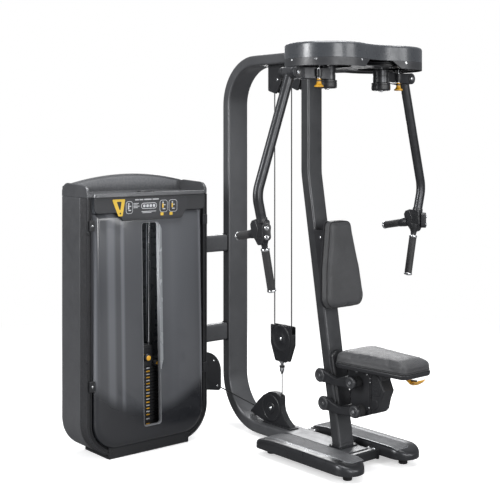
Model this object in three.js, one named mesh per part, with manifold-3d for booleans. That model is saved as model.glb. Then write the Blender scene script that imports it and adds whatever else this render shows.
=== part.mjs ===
// Pec deck machine: C-shaped main frame, front column, weight tower, pivoting arms and a seat
// on a parallelogram. Millimetres, +Z up. In the drawing axes x = 0 is the plane the two arms
// mirror in, the user faces -Y and the tower stands at -X. "right" and "left" are the seated
// user's: right is -X, left is +X. Names ending in 0 and 1 are the lower and upper ends on an axis.
import * as THREE from "three";
import { mergeVertices } from "three/addons/utils/BufferGeometryUtils.js";
import Module from "manifold-3d";

const wasm = await Module();
wasm.setup();

// ---------- driving dimensions ----------
const ORIGIN_X = -208.4, ORIGIN_Y = 23; // the part's origin, in the drawing axes
const GAP = 0.3; // free space between two pieces that bear on each other
const SIDES = [[-1, "right"], [1, "left"]];

// main frame and column
const FRAME_WIDTH = 136, FRAME_THICK = 54.5, FRAME_EDGE = 10;
const FLOOR_Z = 45.25, FLOOR_FRONT_Y = -330, FLOOR_BEND = 253.75, FLOOR_TOP = FLOOR_Z + FRAME_THICK / 2;
const UPRIGHT_Y = 612.5;
const TOP_ARM_Z = 1985, TOP_ARM_FRONT_Y = -45, TOP_BEND = 230.75;
const CROSS_Z0 = 20, CROSS_Z1 = 68, CROSS_THICK = 55, FRONT_CROSS_Y = -332.5, REAR_CROSS_Y = 85;
const COLUMN_WIDTH = 97, COLUMN_THICK = 58, COLUMN_EDGE = 9;
const COLUMN_BEND_Z = 1400, COLUMN_SLOPE = 0.17, COLUMN_TOP_Z = 1957.3;

// foot rails and feet
const RAIL_X = 190, RAIL_WIDTH = 164, RAIL_Z0 = 35, RAIL_Z1 = 91;
const RAIL_REAR_Y = 132, RAIL_NOSE_Y = -519, RAIL_INNER_X = RAIL_X - RAIL_WIDTH / 2;
const FOOT_RADIUS = 22, FOOT_FRONT_Y = -443, FOOT_REAR_Y = 88;

// weight tower
const TOWER_X0 = -999, TOWER_X1 = -273, TOWER_Y0 = 511, TOWER_Y1 = 756;
const TOWER_Z0 = 15, TOWER_Z1 = 1285, TOWER_BEND = 170, TOWER_THICK = 26;
const PLINTH_X0 = -877, PLINTH_X1 = -395, PLINTH_HEIGHT = 92, PLINTH_THICK = 6;
const SHIELD_X0 = -966, SHIELD_X1 = -306, SHIELD_Z0 = 50, SHIELD_Z1 = 1206;
const SHIELD_FRONT_Y = 481, SHIELD_BEND = 136, SHIELD_EDGE = 35, SHIELD_THICK = 5;
const SHIELD_LEAN = 27 / 1150;

// weight stack
const STACK_X = -636, STACK_Y = 630, ROD_OFFSET = 72, ROD_RADIUS = 12.5;
const PLATE_WIDTH = 300, PLATE_Y0 = 570, PLATE_Y1 = 690;
const THICK_PACK_Z0 = 105, THICK_PACK_HEIGHT = 52;
const THIN_PITCH = 15.75, THIN_PER_PACK = 4, THIN_PACKS = 4;
const HEAD_Z0 = 409.3, HEAD_Z1 = 519, PIN_Z = 464;

// head and arms
const HUB_X = 185, HUB_Y = -303, HUB_RADIUS = 40, HUB_Z0 = 1847, HUB_Z1 = 1911;
const HUB_CAP_RADIUS = 47, HUB_CAP_Z0 = 1808;
const CAM_RADIUS = 160, CAM_Z0 = 1922, CAM_Z1 = 1940, SHAFT_RADIUS = 14;
const LOBE_RADIUS = 200, SHROUD_Z0 = 1904.5, SHROUD_SEAM = 1942, SHROUD_TOP = 2016, SHROUD_THICK = 5;
const CROWN_ROUND = 14; // the quarter round along the crown's edge
const TILT_X = 389, TILT_Y0 = -324, TILT_Y1 = -216, TILT_Z = 1875, TILT_RADIUS = 28;
const PULL_PIN_X = 272, PULL_PIN_Y = -339, PULL_PIN_RADIUS = 7;
const ARM_WIDTH = 50, ARM_THICK = 43;
const ELBOW = [563, -238, 1318, 150], WRIST = [532, -238, 1195]; // x, y, z, bend radius
const GRIP_RADIUS = 19, GRIP_COLLAR = 20.5;

// pulleys, as y and z, and the cable
const LOW_PULLEY = [293, 155], LOW_PULLEY_RADIUS = 72;
const FLOAT_PULLEY = [216.5, 530], FLOAT_PULLEY_RADIUS = 67;
const TOP_PULLEY_REAR = [234, 1880], TOP_PULLEY_FRONT = [99, 1880], TOP_PULLEY_RADIUS = 50;
const TOWER_PULLEY = [STACK_Y + TOP_PULLEY_RADIUS, 1228];
const WHEEL_HALF = 11, SLOT_HALF = WHEEL_HALF + 1.5, AXLE_RADIUS = 8, CABLE_RADIUS = 3;

// seat link pivots, as y and z; both links have the same span
const LINK_SPAN_Y = -207;
const LINK_REAR_UP = [-167, 420], LINK_REAR_LOW = [-190, 288];
const LINK_FRONT_UP = [LINK_REAR_UP[0] + LINK_SPAN_Y, LINK_REAR_UP[1]];
const LINK_FRONT_LOW = [LINK_REAR_LOW[0] + LINK_SPAN_Y, LINK_REAR_LOW[1]];
const LINK_X0 = 80, LINK_X1 = 106;

// ---------- outlines ----------
const radians = (degrees) => (degrees * Math.PI) / 180;
const degrees = (angle) => (angle * 180) / Math.PI;

function arc(cx, cy, radius, start, end, chords) {
  const out = [];
  for (let i = 0; i <= chords; i++) {
    const angle = radians(start + ((end - start) * i) / chords);
    out.push([cx + radius * Math.cos(angle), cy + radius * Math.sin(angle)]);
  }
  return out;
}
const circle = (cx, cy, radius, n) => arc(cx, cy, radius, 0, 360 - 360 / n, n - 1);

// A polygon of [a, b, radius] corners, each rounded by its radius. A positive step is the
// largest angle of a chord in degrees; a negative one is a fixed count of chords.
function rounded(corners, step = 22.5) {
  const out = [];
  corners.forEach(([x, y, radius = 0], i) => {
    const [beforeX, beforeY] = corners.at(i - 1);
    const [afterX, afterY] = corners[(i + 1) % corners.length];
    const before = new THREE.Vector2(beforeX - x, beforeY - y).normalize();
    const after = new THREE.Vector2(afterX - x, afterY - y).normalize();
    const half = Math.acos(THREE.MathUtils.clamp(before.dot(after), -1, 1)) / 2;
    if (radius <= 0 || half > radians(89.5)) {
      out.push([x, y]);
      return;
    }
    const reach = radius / Math.tan(half);
    const inward = before.clone().add(after).normalize().multiplyScalar(radius / Math.sin(half));
    const cx = x + inward.x, cy = y + inward.y;
    const start = Math.atan2(y + before.y * reach - cy, x + before.x * reach - cx);
    let turn = Math.atan2(y + after.y * reach - cy, x + after.x * reach - cx) - start;
    if (turn > Math.PI) turn -= 2 * Math.PI;
    if (turn < -Math.PI) turn += 2 * Math.PI;
    const chords = step < 0 ? -step : Math.max(1, Math.ceil(Math.abs(turn) / radians(step)));
    for (let j = 0; j <= chords; j++) {
      const angle = start + (turn * j) / chords;
      out.push([cx + radius * Math.cos(angle), cy + radius * Math.sin(angle)]);
    }
  });
  return out;
}
const rect = (a0, a1, b0, b1, radius = 0) =>
  rounded([[a0, b0, radius], [a1, b0, radius], [a1, b1, radius], [a0, b1, radius]]);
const centredRect = (width, height, radius) =>
  rect(-width / 2, width / 2, -height / 2, height / 2, radius);
const mirror = (sign, [x, ...rest]) => [sign * x, ...rest];

// Drops points that fall on their neighbour.
function clean(points) {
  const apart = (p, q) => Math.hypot(p[0] - q[0], p[1] - q[1]) > 0.02;
  const out = [];
  for (const point of points) if (!out.length || apart(point, out.at(-1))) out.push(point);
  if (!apart(out[0], out.at(-1))) out.pop();
  return out;
}
const shapeOf = (points) => new THREE.Shape(points.map(([a, b]) => new THREE.Vector2(a, b)));

// ---------- solids ----------
function solid(geometry) {
  const plain = geometry.index ? geometry.toNonIndexed() : geometry;
  const bare = new THREE.BufferGeometry().setAttribute("position", plain.getAttribute("position"));
  const merged = mergeVertices(bare, 1e-3);
  return new wasm.Manifold(new wasm.Mesh({
    numProp: 3,
    vertProperties: merged.attributes.position.array,
    triVerts: new Uint32Array(merged.index.array),
  }));
}
const join = (first, ...rest) => rest.reduce((a, b) => a.add(b), first);
const cut = (first, ...rest) => rest.reduce((a, b) => a.subtract(b), first);

const extrude = (points, depth) =>
  new THREE.ExtrudeGeometry(shapeOf(clean(points)), { depth, bevelEnabled: false });
// Slabs: an x, y outline between two heights; a y, z one between two x; an x, z one between two y.
const slabZ = (points, z0, z1) => solid(extrude(points, z1 - z0).translate(0, 0, z0));
const TO_X = new THREE.Matrix4().set(0, 0, 1, 0, 1, 0, 0, 0, 0, 1, 0, 0, 0, 0, 0, 1);
const slabX = (points, x0, x1) =>
  solid(extrude(points, x1 - x0).applyMatrix4(TO_X).translate(x0, 0, 0));
const TO_Y = new THREE.Matrix4().set(1, 0, 0, 0, 0, 0, -1, 0, 0, 1, 0, 0, 0, 0, 0, 1);
const slabY = (points, y0, y1) =>
  solid(extrude(points, y1 - y0).applyMatrix4(TO_Y).translate(0, y1, 0));
const box = (x0, x1, y0, y1, z0, z1) => slabZ(rect(x0, x1, y0, y1), z0, z1);
const cylZ = (x, y, radius, z0, z1, n = 20) => slabZ(circle(x, y, radius, n), z0, z1);
const cylX = (y, z, radius, x0, x1, n = 20) => slabX(circle(y, z, radius, n), x0, x1);
const cylY = (x, z, radius, y0, y1, n = 20) => slabY(circle(x, z, radius, n), y0, y1);

// A closed skin over convex rings of equal count, capped flat at both ends.
function loft(rings) {
  const n = rings[0].length, points = rings.flat(), triangles = [];
  for (let i = 0; i + 1 < rings.length; i++)
    for (let j = 0; j < n; j++) {
      const a = i * n + j, b = i * n + ((j + 1) % n), c = b + n, d = a + n;
      triangles.push([a, b, c], [a, c, d]);
    }
  const last = (rings.length - 1) * n;
  for (let j = 1; j + 1 < n; j++) triangles.push([0, j + 1, j], [last, last + j, last + j + 1]);
  let volume = 0;
  for (const [a, b, c] of triangles) volume += points[a].dot(points[b].clone().cross(points[c]));
  if (volume < 0) for (const triangle of triangles) triangle.push(triangle.splice(1, 1)[0]);
  return solid(new THREE.BufferGeometry().setFromPoints(points).setIndex(triangles.flat()));
}
const vec = ([x, y, z]) => new THREE.Vector3(x, y, z);

// The stations of a path of [x, y, z, bend radius] points, its corners turned on arcs.
function pathOf(points, step = 10) {
  const places = points.map(vec), out = [];
  places.forEach((place, i) => {
    if (i === 0 || i === places.length - 1) {
      const tangent = i === 0 ? places[1].clone().sub(place) : place.clone().sub(places[i - 1]);
      out.push({ point: place, tangent: tangent.normalize() });
      return;
    }
    const radius = points[i][3];
    const before = places[i - 1].clone().sub(place).normalize();
    const after = places[i + 1].clone().sub(place).normalize();
    const half = Math.acos(before.dot(after)) / 2, reach = radius / Math.tan(half);
    const inward = before.clone().add(after).normalize().multiplyScalar(radius / Math.sin(half));
    const centre = place.clone().add(inward);
    const from = place.clone().addScaledVector(before, reach).sub(centre);
    const to = place.clone().addScaledVector(after, reach).sub(centre);
    const turn = Math.PI - 2 * half, axis = from.clone().cross(to).normalize();
    const chords = Math.max(2, Math.ceil(turn / radians(step)));
    for (let j = 0; j <= chords; j++) {
      const arm = from.clone().applyAxisAngle(axis, (turn * j) / chords);
      out.push({ point: centre.clone().add(arm), tangent: axis.clone().cross(arm).normalize() });
    }
  });
  return out;
}

// Places a flat outline in space, its two coordinates along the vectors e and f.
const placeRing = (outline, centre, e, f) =>
  outline.map(([a, b]) => centre.clone().addScaledVector(e, a).addScaledVector(f, b));

// Carries a section along a path, its first coordinate kept nearest to the side vector.
function sweep(stations, section, side) {
  return loft(stations.map(({ point, tangent }) => {
    const across = vec(side).addScaledVector(tangent, -vec(side).dot(tangent)).normalize();
    return placeRing(section, point, across, tangent.clone().cross(across));
  }));
}

// A turned piece from a start along a direction: [distance, radius] pairs.
const UP = [0, 0, 1], DOWN = [0, 0, -1], FORWARD = [0, -1, 0];
function turned(start, direction, profile, n = 16) {
  const axis = vec(direction).normalize();
  const side = vec(Math.abs(axis.z) > 0.7 ? [1, 0, 0] : UP);
  const e = side.addScaledVector(axis, -side.dot(axis)).normalize(), f = axis.clone().cross(e);
  return loft(profile.map(([distance, radius]) =>
    placeRing(circle(0, 0, radius, n), vec(start).addScaledVector(axis, distance), e, f)));
}

// ---------- group and looks ----------
const group = new THREE.Group();
group.position.set(-ORIGIN_X, -ORIGIN_Y, 0);

const LOOKS = {
  frame: { color: 0x4a4c50, metalness: 0.6, roughness: 0.45 },
  dark: { color: 0x1c1d20, metalness: 0.1, roughness: 0.6 },
  shield: { color: 0x2b2f36, metalness: 0.1, roughness: 0.2 },
  pad: { color: 0x2f3033, metalness: 0, roughness: 0.8 },
  silver: { color: 0xb9bcc0, metalness: 1, roughness: 0.25 },
  orange: { color: 0xe8882a, metalness: 0, roughness: 0.5 },
  rubber: { color: 0x151515, metalness: 0, roughness: 0.9 },
  iron: { color: 0x3b3d41, metalness: 0.5, roughness: 0.6 },
  cable: { color: 0x101114, metalness: 0, roughness: 0.5 },
};

function add(name, look, manifold, matrix = new THREE.Matrix4()) {
  const { vertProperties, triVerts } = manifold.getMesh();
  const geometry = new THREE.BufferGeometry()
    .setAttribute("position", new THREE.BufferAttribute(vertProperties, 3))
    .setIndex(new THREE.BufferAttribute(triVerts, 1))
    .applyMatrix4(matrix);
  const material = new THREE.MeshStandardMaterial({ name: name + "_material", ...LOOKS[look] });
  const mesh = new THREE.Mesh(geometry, material);
  mesh.name = name;
  group.add(mesh);
}

// ---------- main frame: a C swept in the plane x = 0, with two floor cross tubes ----------
const framePath = pathOf([
  [0, FLOOR_FRONT_Y, FLOOR_Z],
  [0, UPRIGHT_Y, FLOOR_Z, FLOOR_BEND],
  [0, UPRIGHT_Y, TOP_ARM_Z, TOP_BEND],
  [0, TOP_ARM_FRONT_Y, TOP_ARM_Z],
], 11.25);
const crossTube = (y) => slabX(
  rect(y - CROSS_THICK / 2, y + CROSS_THICK / 2, CROSS_Z0, CROSS_Z1, 8),
  -RAIL_INNER_X + GAP, RAIL_INNER_X - GAP,
);
add("rear_upright_frame", "frame", join(
  sweep(framePath, centredRect(FRAME_WIDTH, FRAME_THICK, FRAME_EDGE), [1, 0, 0]),
  crossTube(FRONT_CROSS_Y),
  crossTube(REAR_CROSS_Y),
));

// ---------- front column: leans forward below its bend, foot plate on the floor tube ----------
const columnY = (z) => (z >= COLUMN_BEND_Z ? 0 : -COLUMN_SLOPE * (COLUMN_BEND_Z - z));
const columnPath = pathOf([
  [0, columnY(20), 20],
  [0, 0, COLUMN_BEND_Z, 320],
  [0, 0, COLUMN_TOP_Z],
], 5);
// A cross tube and its axle for one seat link pivot.
const linkPivot = ([y, z]) => [
  cylX(y, z, 18, -LINK_X0 + 0.4, LINK_X0 - 0.4),
  cylX(y, z, AXLE_RADIUS, -110, 110, 16),
];
add("front_column", "frame", join(
  cut(
    sweep(columnPath, centredRect(COLUMN_WIDTH, COLUMN_THICK, COLUMN_EDGE), [1, 0, 0]),
    box(-80, 80, -300, 0, 0, FLOOR_TOP + GAP),
    slabX(rect(-60, 60, 1914, 1946, 10), -20, 20), // window through the column, front to back
  ),
  slabY(rect(-62, 62, 73.1, 81), columnY(73) - 48, columnY(73) + 48),
  ...linkPivot(LINK_REAR_UP),
  ...linkPivot(LINK_REAR_LOW),
));

// ---------- foot rails and feet ----------
// The rail is its plan, its side profile and its cross-section intersected.
function footRail(sign) {
  const half = RAIL_WIDTH / 2, cx = sign * RAIL_X, cy = RAIL_NOSE_Y + half;
  const outerEdge = 24, innerEdge = 8;
  const rear = [[cx + half, RAIL_REAR_Y, 35], [cx - half, RAIL_REAR_Y, 35], [cx, cy]];
  const plan = [...arc(cx, cy, half, 180, 360, 18), ...rounded(rear).slice(0, -1)];
  const profile = rounded([
    [RAIL_NOSE_Y - 10, RAIL_Z0], [RAIL_REAR_Y + 10, RAIL_Z0], [RAIL_REAR_Y + 10, 70],
    [97, 80, 60], [20, RAIL_Z1, 150], [-418, RAIL_Z1, 260], [RAIL_NOSE_Y - 10, 58],
  ], 8);
  const section = rounded([
    [cx - half - 1, RAIL_Z0 - 1],
    [cx + half + 1, RAIL_Z0 - 1],
    [cx + half + 0.2, RAIL_Z1, sign > 0 ? outerEdge : innerEdge],
    [cx - half - 0.2, RAIL_Z1, sign > 0 ? innerEdge : outerEdge],
  ], 15);
  return slabZ(plan, RAIL_Z0, RAIL_Z1 + 1)
    .intersect(slabX(profile, cx - 90, cx + 90))
    .intersect(slabY(section, RAIL_NOSE_Y - 5, RAIL_REAR_Y + 5));
}
const footProfile = [
  [0, FOOT_RADIUS - 3], [3, FOOT_RADIUS], [24, FOOT_RADIUS],
  [30, FOOT_RADIUS - 5], [RAIL_Z0 - GAP, FOOT_RADIUS - 5],
];
for (const [sign, side] of SIDES) {
  add(side + "_foot_rail", "frame", footRail(sign));
  for (const [y, end] of [[FOOT_FRONT_Y, "front"], [FOOT_REAR_Y, "rear"]])
    add(`${side}_${end}_foot`, "rubber", turned([sign * RAIL_X, y, 0], UP, footProfile, 18));
}

// ---------- link tubes from the upright to the tower ----------
const linkTube = (z0, z1) =>
  slabX(rect(590, 634, z0, z1, 14), TOWER_X1 + GAP, -FRAME_WIDTH / 2 - GAP);
add("upper_link_tube", "frame", linkTube(960, 1050));
add("lower_link_tube", "frame", linkTube(477, 570));

// ---------- weight tower: U frame and base ----------
const towerOutline = (inset, top) => rounded([
  [TOWER_X0 + inset, top],
  [TOWER_X0 + inset, TOWER_Z0 + inset, TOWER_BEND - inset],
  [TOWER_X1 - inset, TOWER_Z0 + inset, TOWER_BEND - inset],
  [TOWER_X1 - inset, top],
], 7.5);
const recessY1 = TOWER_Y0 + PLINTH_THICK;
add("tower_frame", "frame", cut(
  slabY(towerOutline(0, TOWER_Z1), TOWER_Y0, TOWER_Y1),
  slabY(towerOutline(TOWER_THICK, TOWER_Z1 + 10), TOWER_Y0 - 5, TOWER_Y1 + 5),
  box(PLINTH_X0 - GAP, PLINTH_X1 + GAP, TOWER_Y0 - 5, recessY1, 0, PLINTH_HEIGHT + GAP),
));
add("tower_base", "frame", join(
  box(PLINTH_X0, PLINTH_X1, TOWER_Y0, 740, 0, TOWER_Z0 - GAP),
  slabY(rect(PLINTH_X0, PLINTH_X1, 0, PLINTH_HEIGHT, 4), TOWER_Y0, recessY1 - GAP),
));

// ---------- top tray: floor, front lip, two sides, arched back and a cup ring ----------
const TRAY_Z0 = TOWER_Z1 + GAP, TRAY_Y0 = 484, TRAY_X0 = -970, TRAY_X1 = -302;
const TRAY_SIDE_THICK = 16, CUP = [-556, 668];
const ARCH_RADIUS = 1462, ARCH_X = -606, ARCH_TOP = 1389.5, ARCH_CHORDS = 20;
const trayFloor = rounded([
  [TRAY_X0, TRAY_Y0, 20], [TRAY_X1, TRAY_Y0, 20],
  [TRAY_X1, TOWER_Y0], [TOWER_X1, TOWER_Y0, 10], [TOWER_X1, TOWER_Y1],
  [TOWER_X0, TOWER_Y1], [TOWER_X0, TOWER_Y0, 10], [TRAY_X0, TOWER_Y0],
]);
const trayLip = rounded([
  [TRAY_Y0, TRAY_Z0, 4], [TRAY_Y0 + 16, TRAY_Z0], [TRAY_Y0 + 16, 1303, 4], [TRAY_Y0, 1303, 6],
]);
const traySide = rounded([[514, 1290], [TOWER_Y1, 1290], [TOWER_Y1, 1354, 31], [514, 1336, 26]]);
const archLine = Array.from({ length: ARCH_CHORDS + 1 }, (_, i) => {
  const x = TOWER_X1 + ((TOWER_X0 - TOWER_X1) * i) / ARCH_CHORDS;
  return [x, ARCH_TOP - ARCH_RADIUS + Math.sqrt(ARCH_RADIUS ** 2 - (x - ARCH_X) ** 2)];
});
add("tower_top_tray", "frame", join(
  slabZ(trayFloor, TRAY_Z0, 1294),
  slabX(trayLip, TRAY_X0 + 18, TRAY_X1 - 18),
  slabX(traySide, TOWER_X0, TOWER_X0 + TRAY_SIDE_THICK),
  slabX(traySide, TOWER_X1 - TRAY_SIDE_THICK, TOWER_X1),
  slabY([[TOWER_X0, 1288], [TOWER_X1, 1288], ...archLine], TOWER_Y1 - 20, TOWER_Y1 - 0.5),
  cut(cylZ(...CUP, 46, 1290, 1300, 32), cylZ(...CUP, 39, 1280, 1310, 32)),
));

// ---------- header panel above the front shield, with rounded front edges ----------
const HEADER_X0 = SHIELD_X0 - 3, HEADER_X1 = SHIELD_X1 + 3, HEADER_Y0 = 492;
const headerFace = rounded([
  [HEADER_X0, TOWER_Z1 - 0.2, 3], [HEADER_X0, 1207, 22], [-838, 1207, 14], [-806, 1166, 14],
  [-452, 1166, 14], [-424, 1207, 14], [HEADER_X1, 1207, 22], [HEADER_X1, TOWER_Z1 - 0.2, 3],
]);
const headerPlan = rounded([
  [HEADER_X0, 504.5], [HEADER_X0, HEADER_Y0, 12], [HEADER_X1, HEADER_Y0, 12], [HEADER_X1, 504.5],
]);
add("tower_header_panel", "frame",
  slabY(headerFace, HEADER_Y0, HEADER_Y0 + 12).intersect(slabZ(headerPlan, 1100, 1300)));

// ---------- shields ----------
// The shield's block is its front, plan and side outlines intersected; an inset gives the hollow.
function shieldBody(inset, back) {
  const x0 = SHIELD_X0 + inset, x1 = SHIELD_X1 - inset, front = SHIELD_FRONT_Y + inset;
  const z0 = SHIELD_Z0 + inset, top = inset ? SHIELD_Z1 + 20 : SHIELD_Z1;
  const bend = SHIELD_BEND - inset, edge = SHIELD_EDGE - inset;
  const face = rounded([[x0, top, 12], [x0, z0, bend], [x1, z0, bend], [x1, top, 12]], 9);
  const plan = rounded([[x0, front, edge], [x1, front, edge], [x1, 530], [x0, 530]], 11);
  const profile = rounded([[front, z0, edge], [back, z0], [back, top], [front, top]], 11);
  return slabY(face, front, back)
    .intersect(slabZ(plan, 0, 1400))
    .intersect(slabX(profile, SHIELD_X0 - 5, SHIELD_X1 + 5));
}
// Shears the shield backwards with height, about its lower edge.
const lean = new THREE.Matrix4().set(
  1, 0, 0, 0,
  0, 1, SHIELD_LEAN, -SHIELD_LEAN * SHIELD_Z0,
  0, 0, 1, 0,
  0, 0, 0, 1,
);
add("front_shield", "shield", cut(
  shieldBody(0, 528),
  shieldBody(SHIELD_THICK, 530),
  slabY(rect(-689, -585, 135, 1151, 14), 470, 540), // tall slot in front of the stack
  box(PLINTH_X0 - 2, PLINTH_X1 + 2, TOWER_Y0 - 1.5, 560, 0, PLINTH_HEIGHT + 2),
), lean);
add("rear_shield", "shield", slabY(towerOutline(TOWER_THICK + 3, TOWER_Z1 - 2), 738, 743));

// ---------- guide rods, each with a buffer collar under the stack ----------
const ROD_Z0 = TOWER_Z0 + TOWER_THICK + GAP;
for (const [sign, side] of SIDES) {
  const x = STACK_X + sign * ROD_OFFSET;
  add(side + "_guide_rod", "silver", join(
    cylZ(x, STACK_Y, ROD_RADIUS, ROD_Z0, TOWER_Z1 - GAP),
    cylZ(x, STACK_Y, 26, ROD_Z0, THICK_PACK_Z0 - GAP, 24),
  ));
}

// ---------- weight stack ----------
const rodHoles = (z0, z1, n) => SIDES.map(([sign]) =>
  cylZ(STACK_X + sign * ROD_OFFSET, STACK_Y, ROD_RADIUS + 1.5, z0, z1, n));
const plateBlock = (inset, z0, z1) => box(
  STACK_X - PLATE_WIDTH / 2 + inset, STACK_X + PLATE_WIDTH / 2 - inset,
  PLATE_Y0 + inset, PLATE_Y1 - inset, z0, z1,
);
// Plates of one pack, held together by narrower blocks in the grooves between them.
function pack(z0, height, count) {
  const plates = [];
  for (let i = 0; i < count; i++) {
    const bottom = z0 + (height * i) / count, top = z0 + (height * (i + 1)) / count;
    plates.push(plateBlock(0, bottom, top - 2));
    if (i + 1 < count) plates.push(plateBlock(3, top - 3, top + 1));
  }
  const holeZ0 = z0 - 1, holeZ1 = z0 + height + 1;
  const centreHole = cylZ(STACK_X, STACK_Y, 14, holeZ0, holeZ1, 12);
  return cut(join(...plates), centreHole, ...rodHoles(holeZ0, holeZ1, 12));
}
add("weight_pack_1", "iron", pack(THICK_PACK_Z0, THICK_PACK_HEIGHT, 2));
const THIN_PACK_HEIGHT = THIN_PER_PACK * THIN_PITCH;
for (let i = 0; i < THIN_PACKS; i++) {
  const z0 = THICK_PACK_Z0 + THICK_PACK_HEIGHT + GAP + i * THIN_PACK_HEIGHT;
  add("weight_pack_" + (i + 2), "iron", pack(z0, THIN_PACK_HEIGHT, THIN_PER_PACK));
}

// Head plate: a stepped block with the centre rod below, a front knob and the cable boss.
const headOutline = rounded([ // x from the stack's centre, z, radius
  [-150, HEAD_Z0], [150, HEAD_Z0], [150, 446, 4], [56, 448, 5], [50, HEAD_Z1, 10],
  [-50, HEAD_Z1, 10], [-56, 448, 5], [-150, 446, 4],
].map(([x, z, radius]) => [STACK_X + x, z, radius]));
const knobProfile = [[0, 10], [22, 10], [22.01, 15], [36, 15], [40, 12]];
add("head_plate", "iron", join(
  cut(
    slabY(headOutline, PLATE_Y0, PLATE_Y1),
    ...rodHoles(400, 530, 20),
    cylY(STACK_X, PIN_Z, 6.5, 540, 655),
  ),
  cylZ(STACK_X, STACK_Y, 12, 128, HEAD_Z0 + 2),
  turned([STACK_X + 60, PLATE_Y0 + 2, 430], FORWARD, knobProfile, 20),
  cylZ(STACK_X, STACK_Y, 14, HEAD_Z1 - 2, 540),
));
const selectorKnob = [[0, 12], [4, 17], [18, 17], [24, 21], [36, 20], [40, 15]];
add("selector_pin", "orange", join(
  cylY(STACK_X, PIN_Z, 5.5, PLATE_Y0 - 24, 648),
  turned([STACK_X, PLATE_Y0 - 8, PIN_Z], FORWARD, selectorKnob, 24),
));

// ---------- pulleys and their housings ----------
// A grooved wheel on an axle along X.
function wheel(centreX, [y, z], radius) {
  const profile = [ // x from the middle, depth below the rim
    [-WHEEL_HALF, 0], [-WHEEL_HALF + 3, 0], [-3, 7], [3, 7], [WHEEL_HALF - 3, 0], [WHEEL_HALF, 0],
  ];
  const rings = profile.map(([x, depth]) =>
    circle(y, z, radius - depth, 26).map(([a, b]) => vec([centreX + x, a, b])));
  return cut(loft(rings), cylX(y, z, AXLE_RADIUS + GAP, centreX - 30, centreX + 30));
}

add("exit_pulley_cover", "frame", slabY(rounded([
  [TOWER_X1 + GAP, 238], [-125, 210, 18], [-125, 432, 118], [TOWER_X1 + GAP, 432],
], 7.5), 578, 638));

const [lowY, lowZ] = LOW_PULLEY;
const lowHousing = rounded([ // y, z, radius
  [465, 104, 5], [431, 140, 30], [398, 176, 40], [357, 211, 40], [308, 238, 40],
  [260, 243, 20], [221, 231, 6], [216, 222, 4], [216, 180, 20], [208, 150, 20],
  [181, 114, 20], [146, 90, 12], [130, 73.2], [340, 73.2, 30],
], 20);
const lowRearSlot = [[lowY, 77], [lowY + 40, 77], [470, 130], [470, 165], [lowY, 100]];
const lowFrontY = lowY - LOW_PULLEY_RADIUS;
add("lower_pulley_housing", "frame", join(
  cut(
    join(slabX(lowHousing, -17, 17), cylX(lowY, lowZ, 71, -20.5, 20.5, 30)),
    cylX(lowY, lowZ, LOW_PULLEY_RADIUS + 2.5, -SLOT_HALF, SLOT_HALF, 28),
    box(-8, 8, lowFrontY - 2, lowFrontY + 12, lowZ, 260),
    slabX(lowRearSlot, -8, 8),
  ),
  cylX(lowY, lowZ, AXLE_RADIUS, -19, 19),
));
add("lower_pulley", "dark", wheel(0, LOW_PULLEY, LOW_PULLEY_RADIUS));

const [floatY, floatZ] = FLOAT_PULLEY, LIFT_Y = lowFrontY + 3;
const FLOAT_SLOT_RADIUS = FLOAT_PULLEY_RADIUS + 3;
const floatHousing = rounded([ // y, z, radius
  [298, 598, 8], [298, 500, 16], [262, 410, 16], [172, 410, 16], [135, 503, 16], [135, 600, 8],
], 15);
const cableSocket = [[0, 13], [10, 13], [16, 8], [22, 8], [26, 12], [60, 12], [68, 7]];
add("floating_pulley_block", "frame", join(
  cut(
    join(slabX(floatHousing, -15.5, 15.5), cylX(floatY, floatZ, 70, -18, 18, 36)),
    cylX(floatY, floatZ, FLOAT_SLOT_RADIUS, -SLOT_HALF, SLOT_HALF, 28),
    box(-SLOT_HALF, SLOT_HALF, floatY - FLOAT_SLOT_RADIUS, floatY + FLOAT_SLOT_RADIUS, floatZ, 620),
  ),
  cylX(floatY, floatZ, AXLE_RADIUS, -15, 15),
  turned([0, LIFT_Y, 412], DOWN, cableSocket, 20),
));
add("floating_pulley", "dark", wheel(0, FLOAT_PULLEY, FLOAT_PULLEY_RADIUS));

const ARM_UNDER = TOP_ARM_Z - FRAME_THICK / 2, CHEEK_TOP = ARM_UNDER - 4;
const cheekPair = (corners) =>
  [[-25, -14], [14, 25]].map(([x0, x1]) => slabX(rounded(corners), x0, x1));
const rearCheek = [
  [205, CHEEK_TOP], [308, CHEEK_TOP], [308, 1824, 10], [248, 1806, 10], [205, 1866, 16],
];
const frontCheek = [
  [60, CHEEK_TOP], [139, CHEEK_TOP], [139, 1839, 10], [80, 1816, 10], [60, 1856, 12],
];
add("top_pulley_bracket", "frame", join(
  box(-25, 25, 60, 308, ARM_UNDER - 12, ARM_UNDER - GAP),
  ...cheekPair(rearCheek),
  ...cheekPair(frontCheek),
  cylX(...TOP_PULLEY_REAR, AXLE_RADIUS, -28, 28),
  cylX(...TOP_PULLEY_FRONT, AXLE_RADIUS, -28, 28),
));
add("rear_top_pulley", "dark", wheel(0, TOP_PULLEY_REAR, TOP_PULLEY_RADIUS));
add("front_top_pulley", "dark", wheel(0, TOP_PULLEY_FRONT, TOP_PULLEY_RADIUS));
add("tower_top_pulley", "dark", wheel(STACK_X, TOWER_PULLEY, TOP_PULLEY_RADIUS));

// ---------- cables ----------
const cableSection = circle(0, 0, CABLE_RADIUS, 8);
add("stack_cable", "cable", cylZ(STACK_X, STACK_Y, CABLE_RADIUS, 541, TOWER_PULLEY[1] - 4, 10));
add("lift_cable", "cable", cylZ(0, LIFT_Y, CABLE_RADIUS, lowZ + 30, 343, 10));
const crossoverPath = pathOf([
  [-120, 590, 224], [-112, 580, 219, 12], [0, 452, 137, 20], [0, 422, 128],
]);
add("crossover_cable", "cable", sweep(crossoverPath, cableSection, UP));
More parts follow.
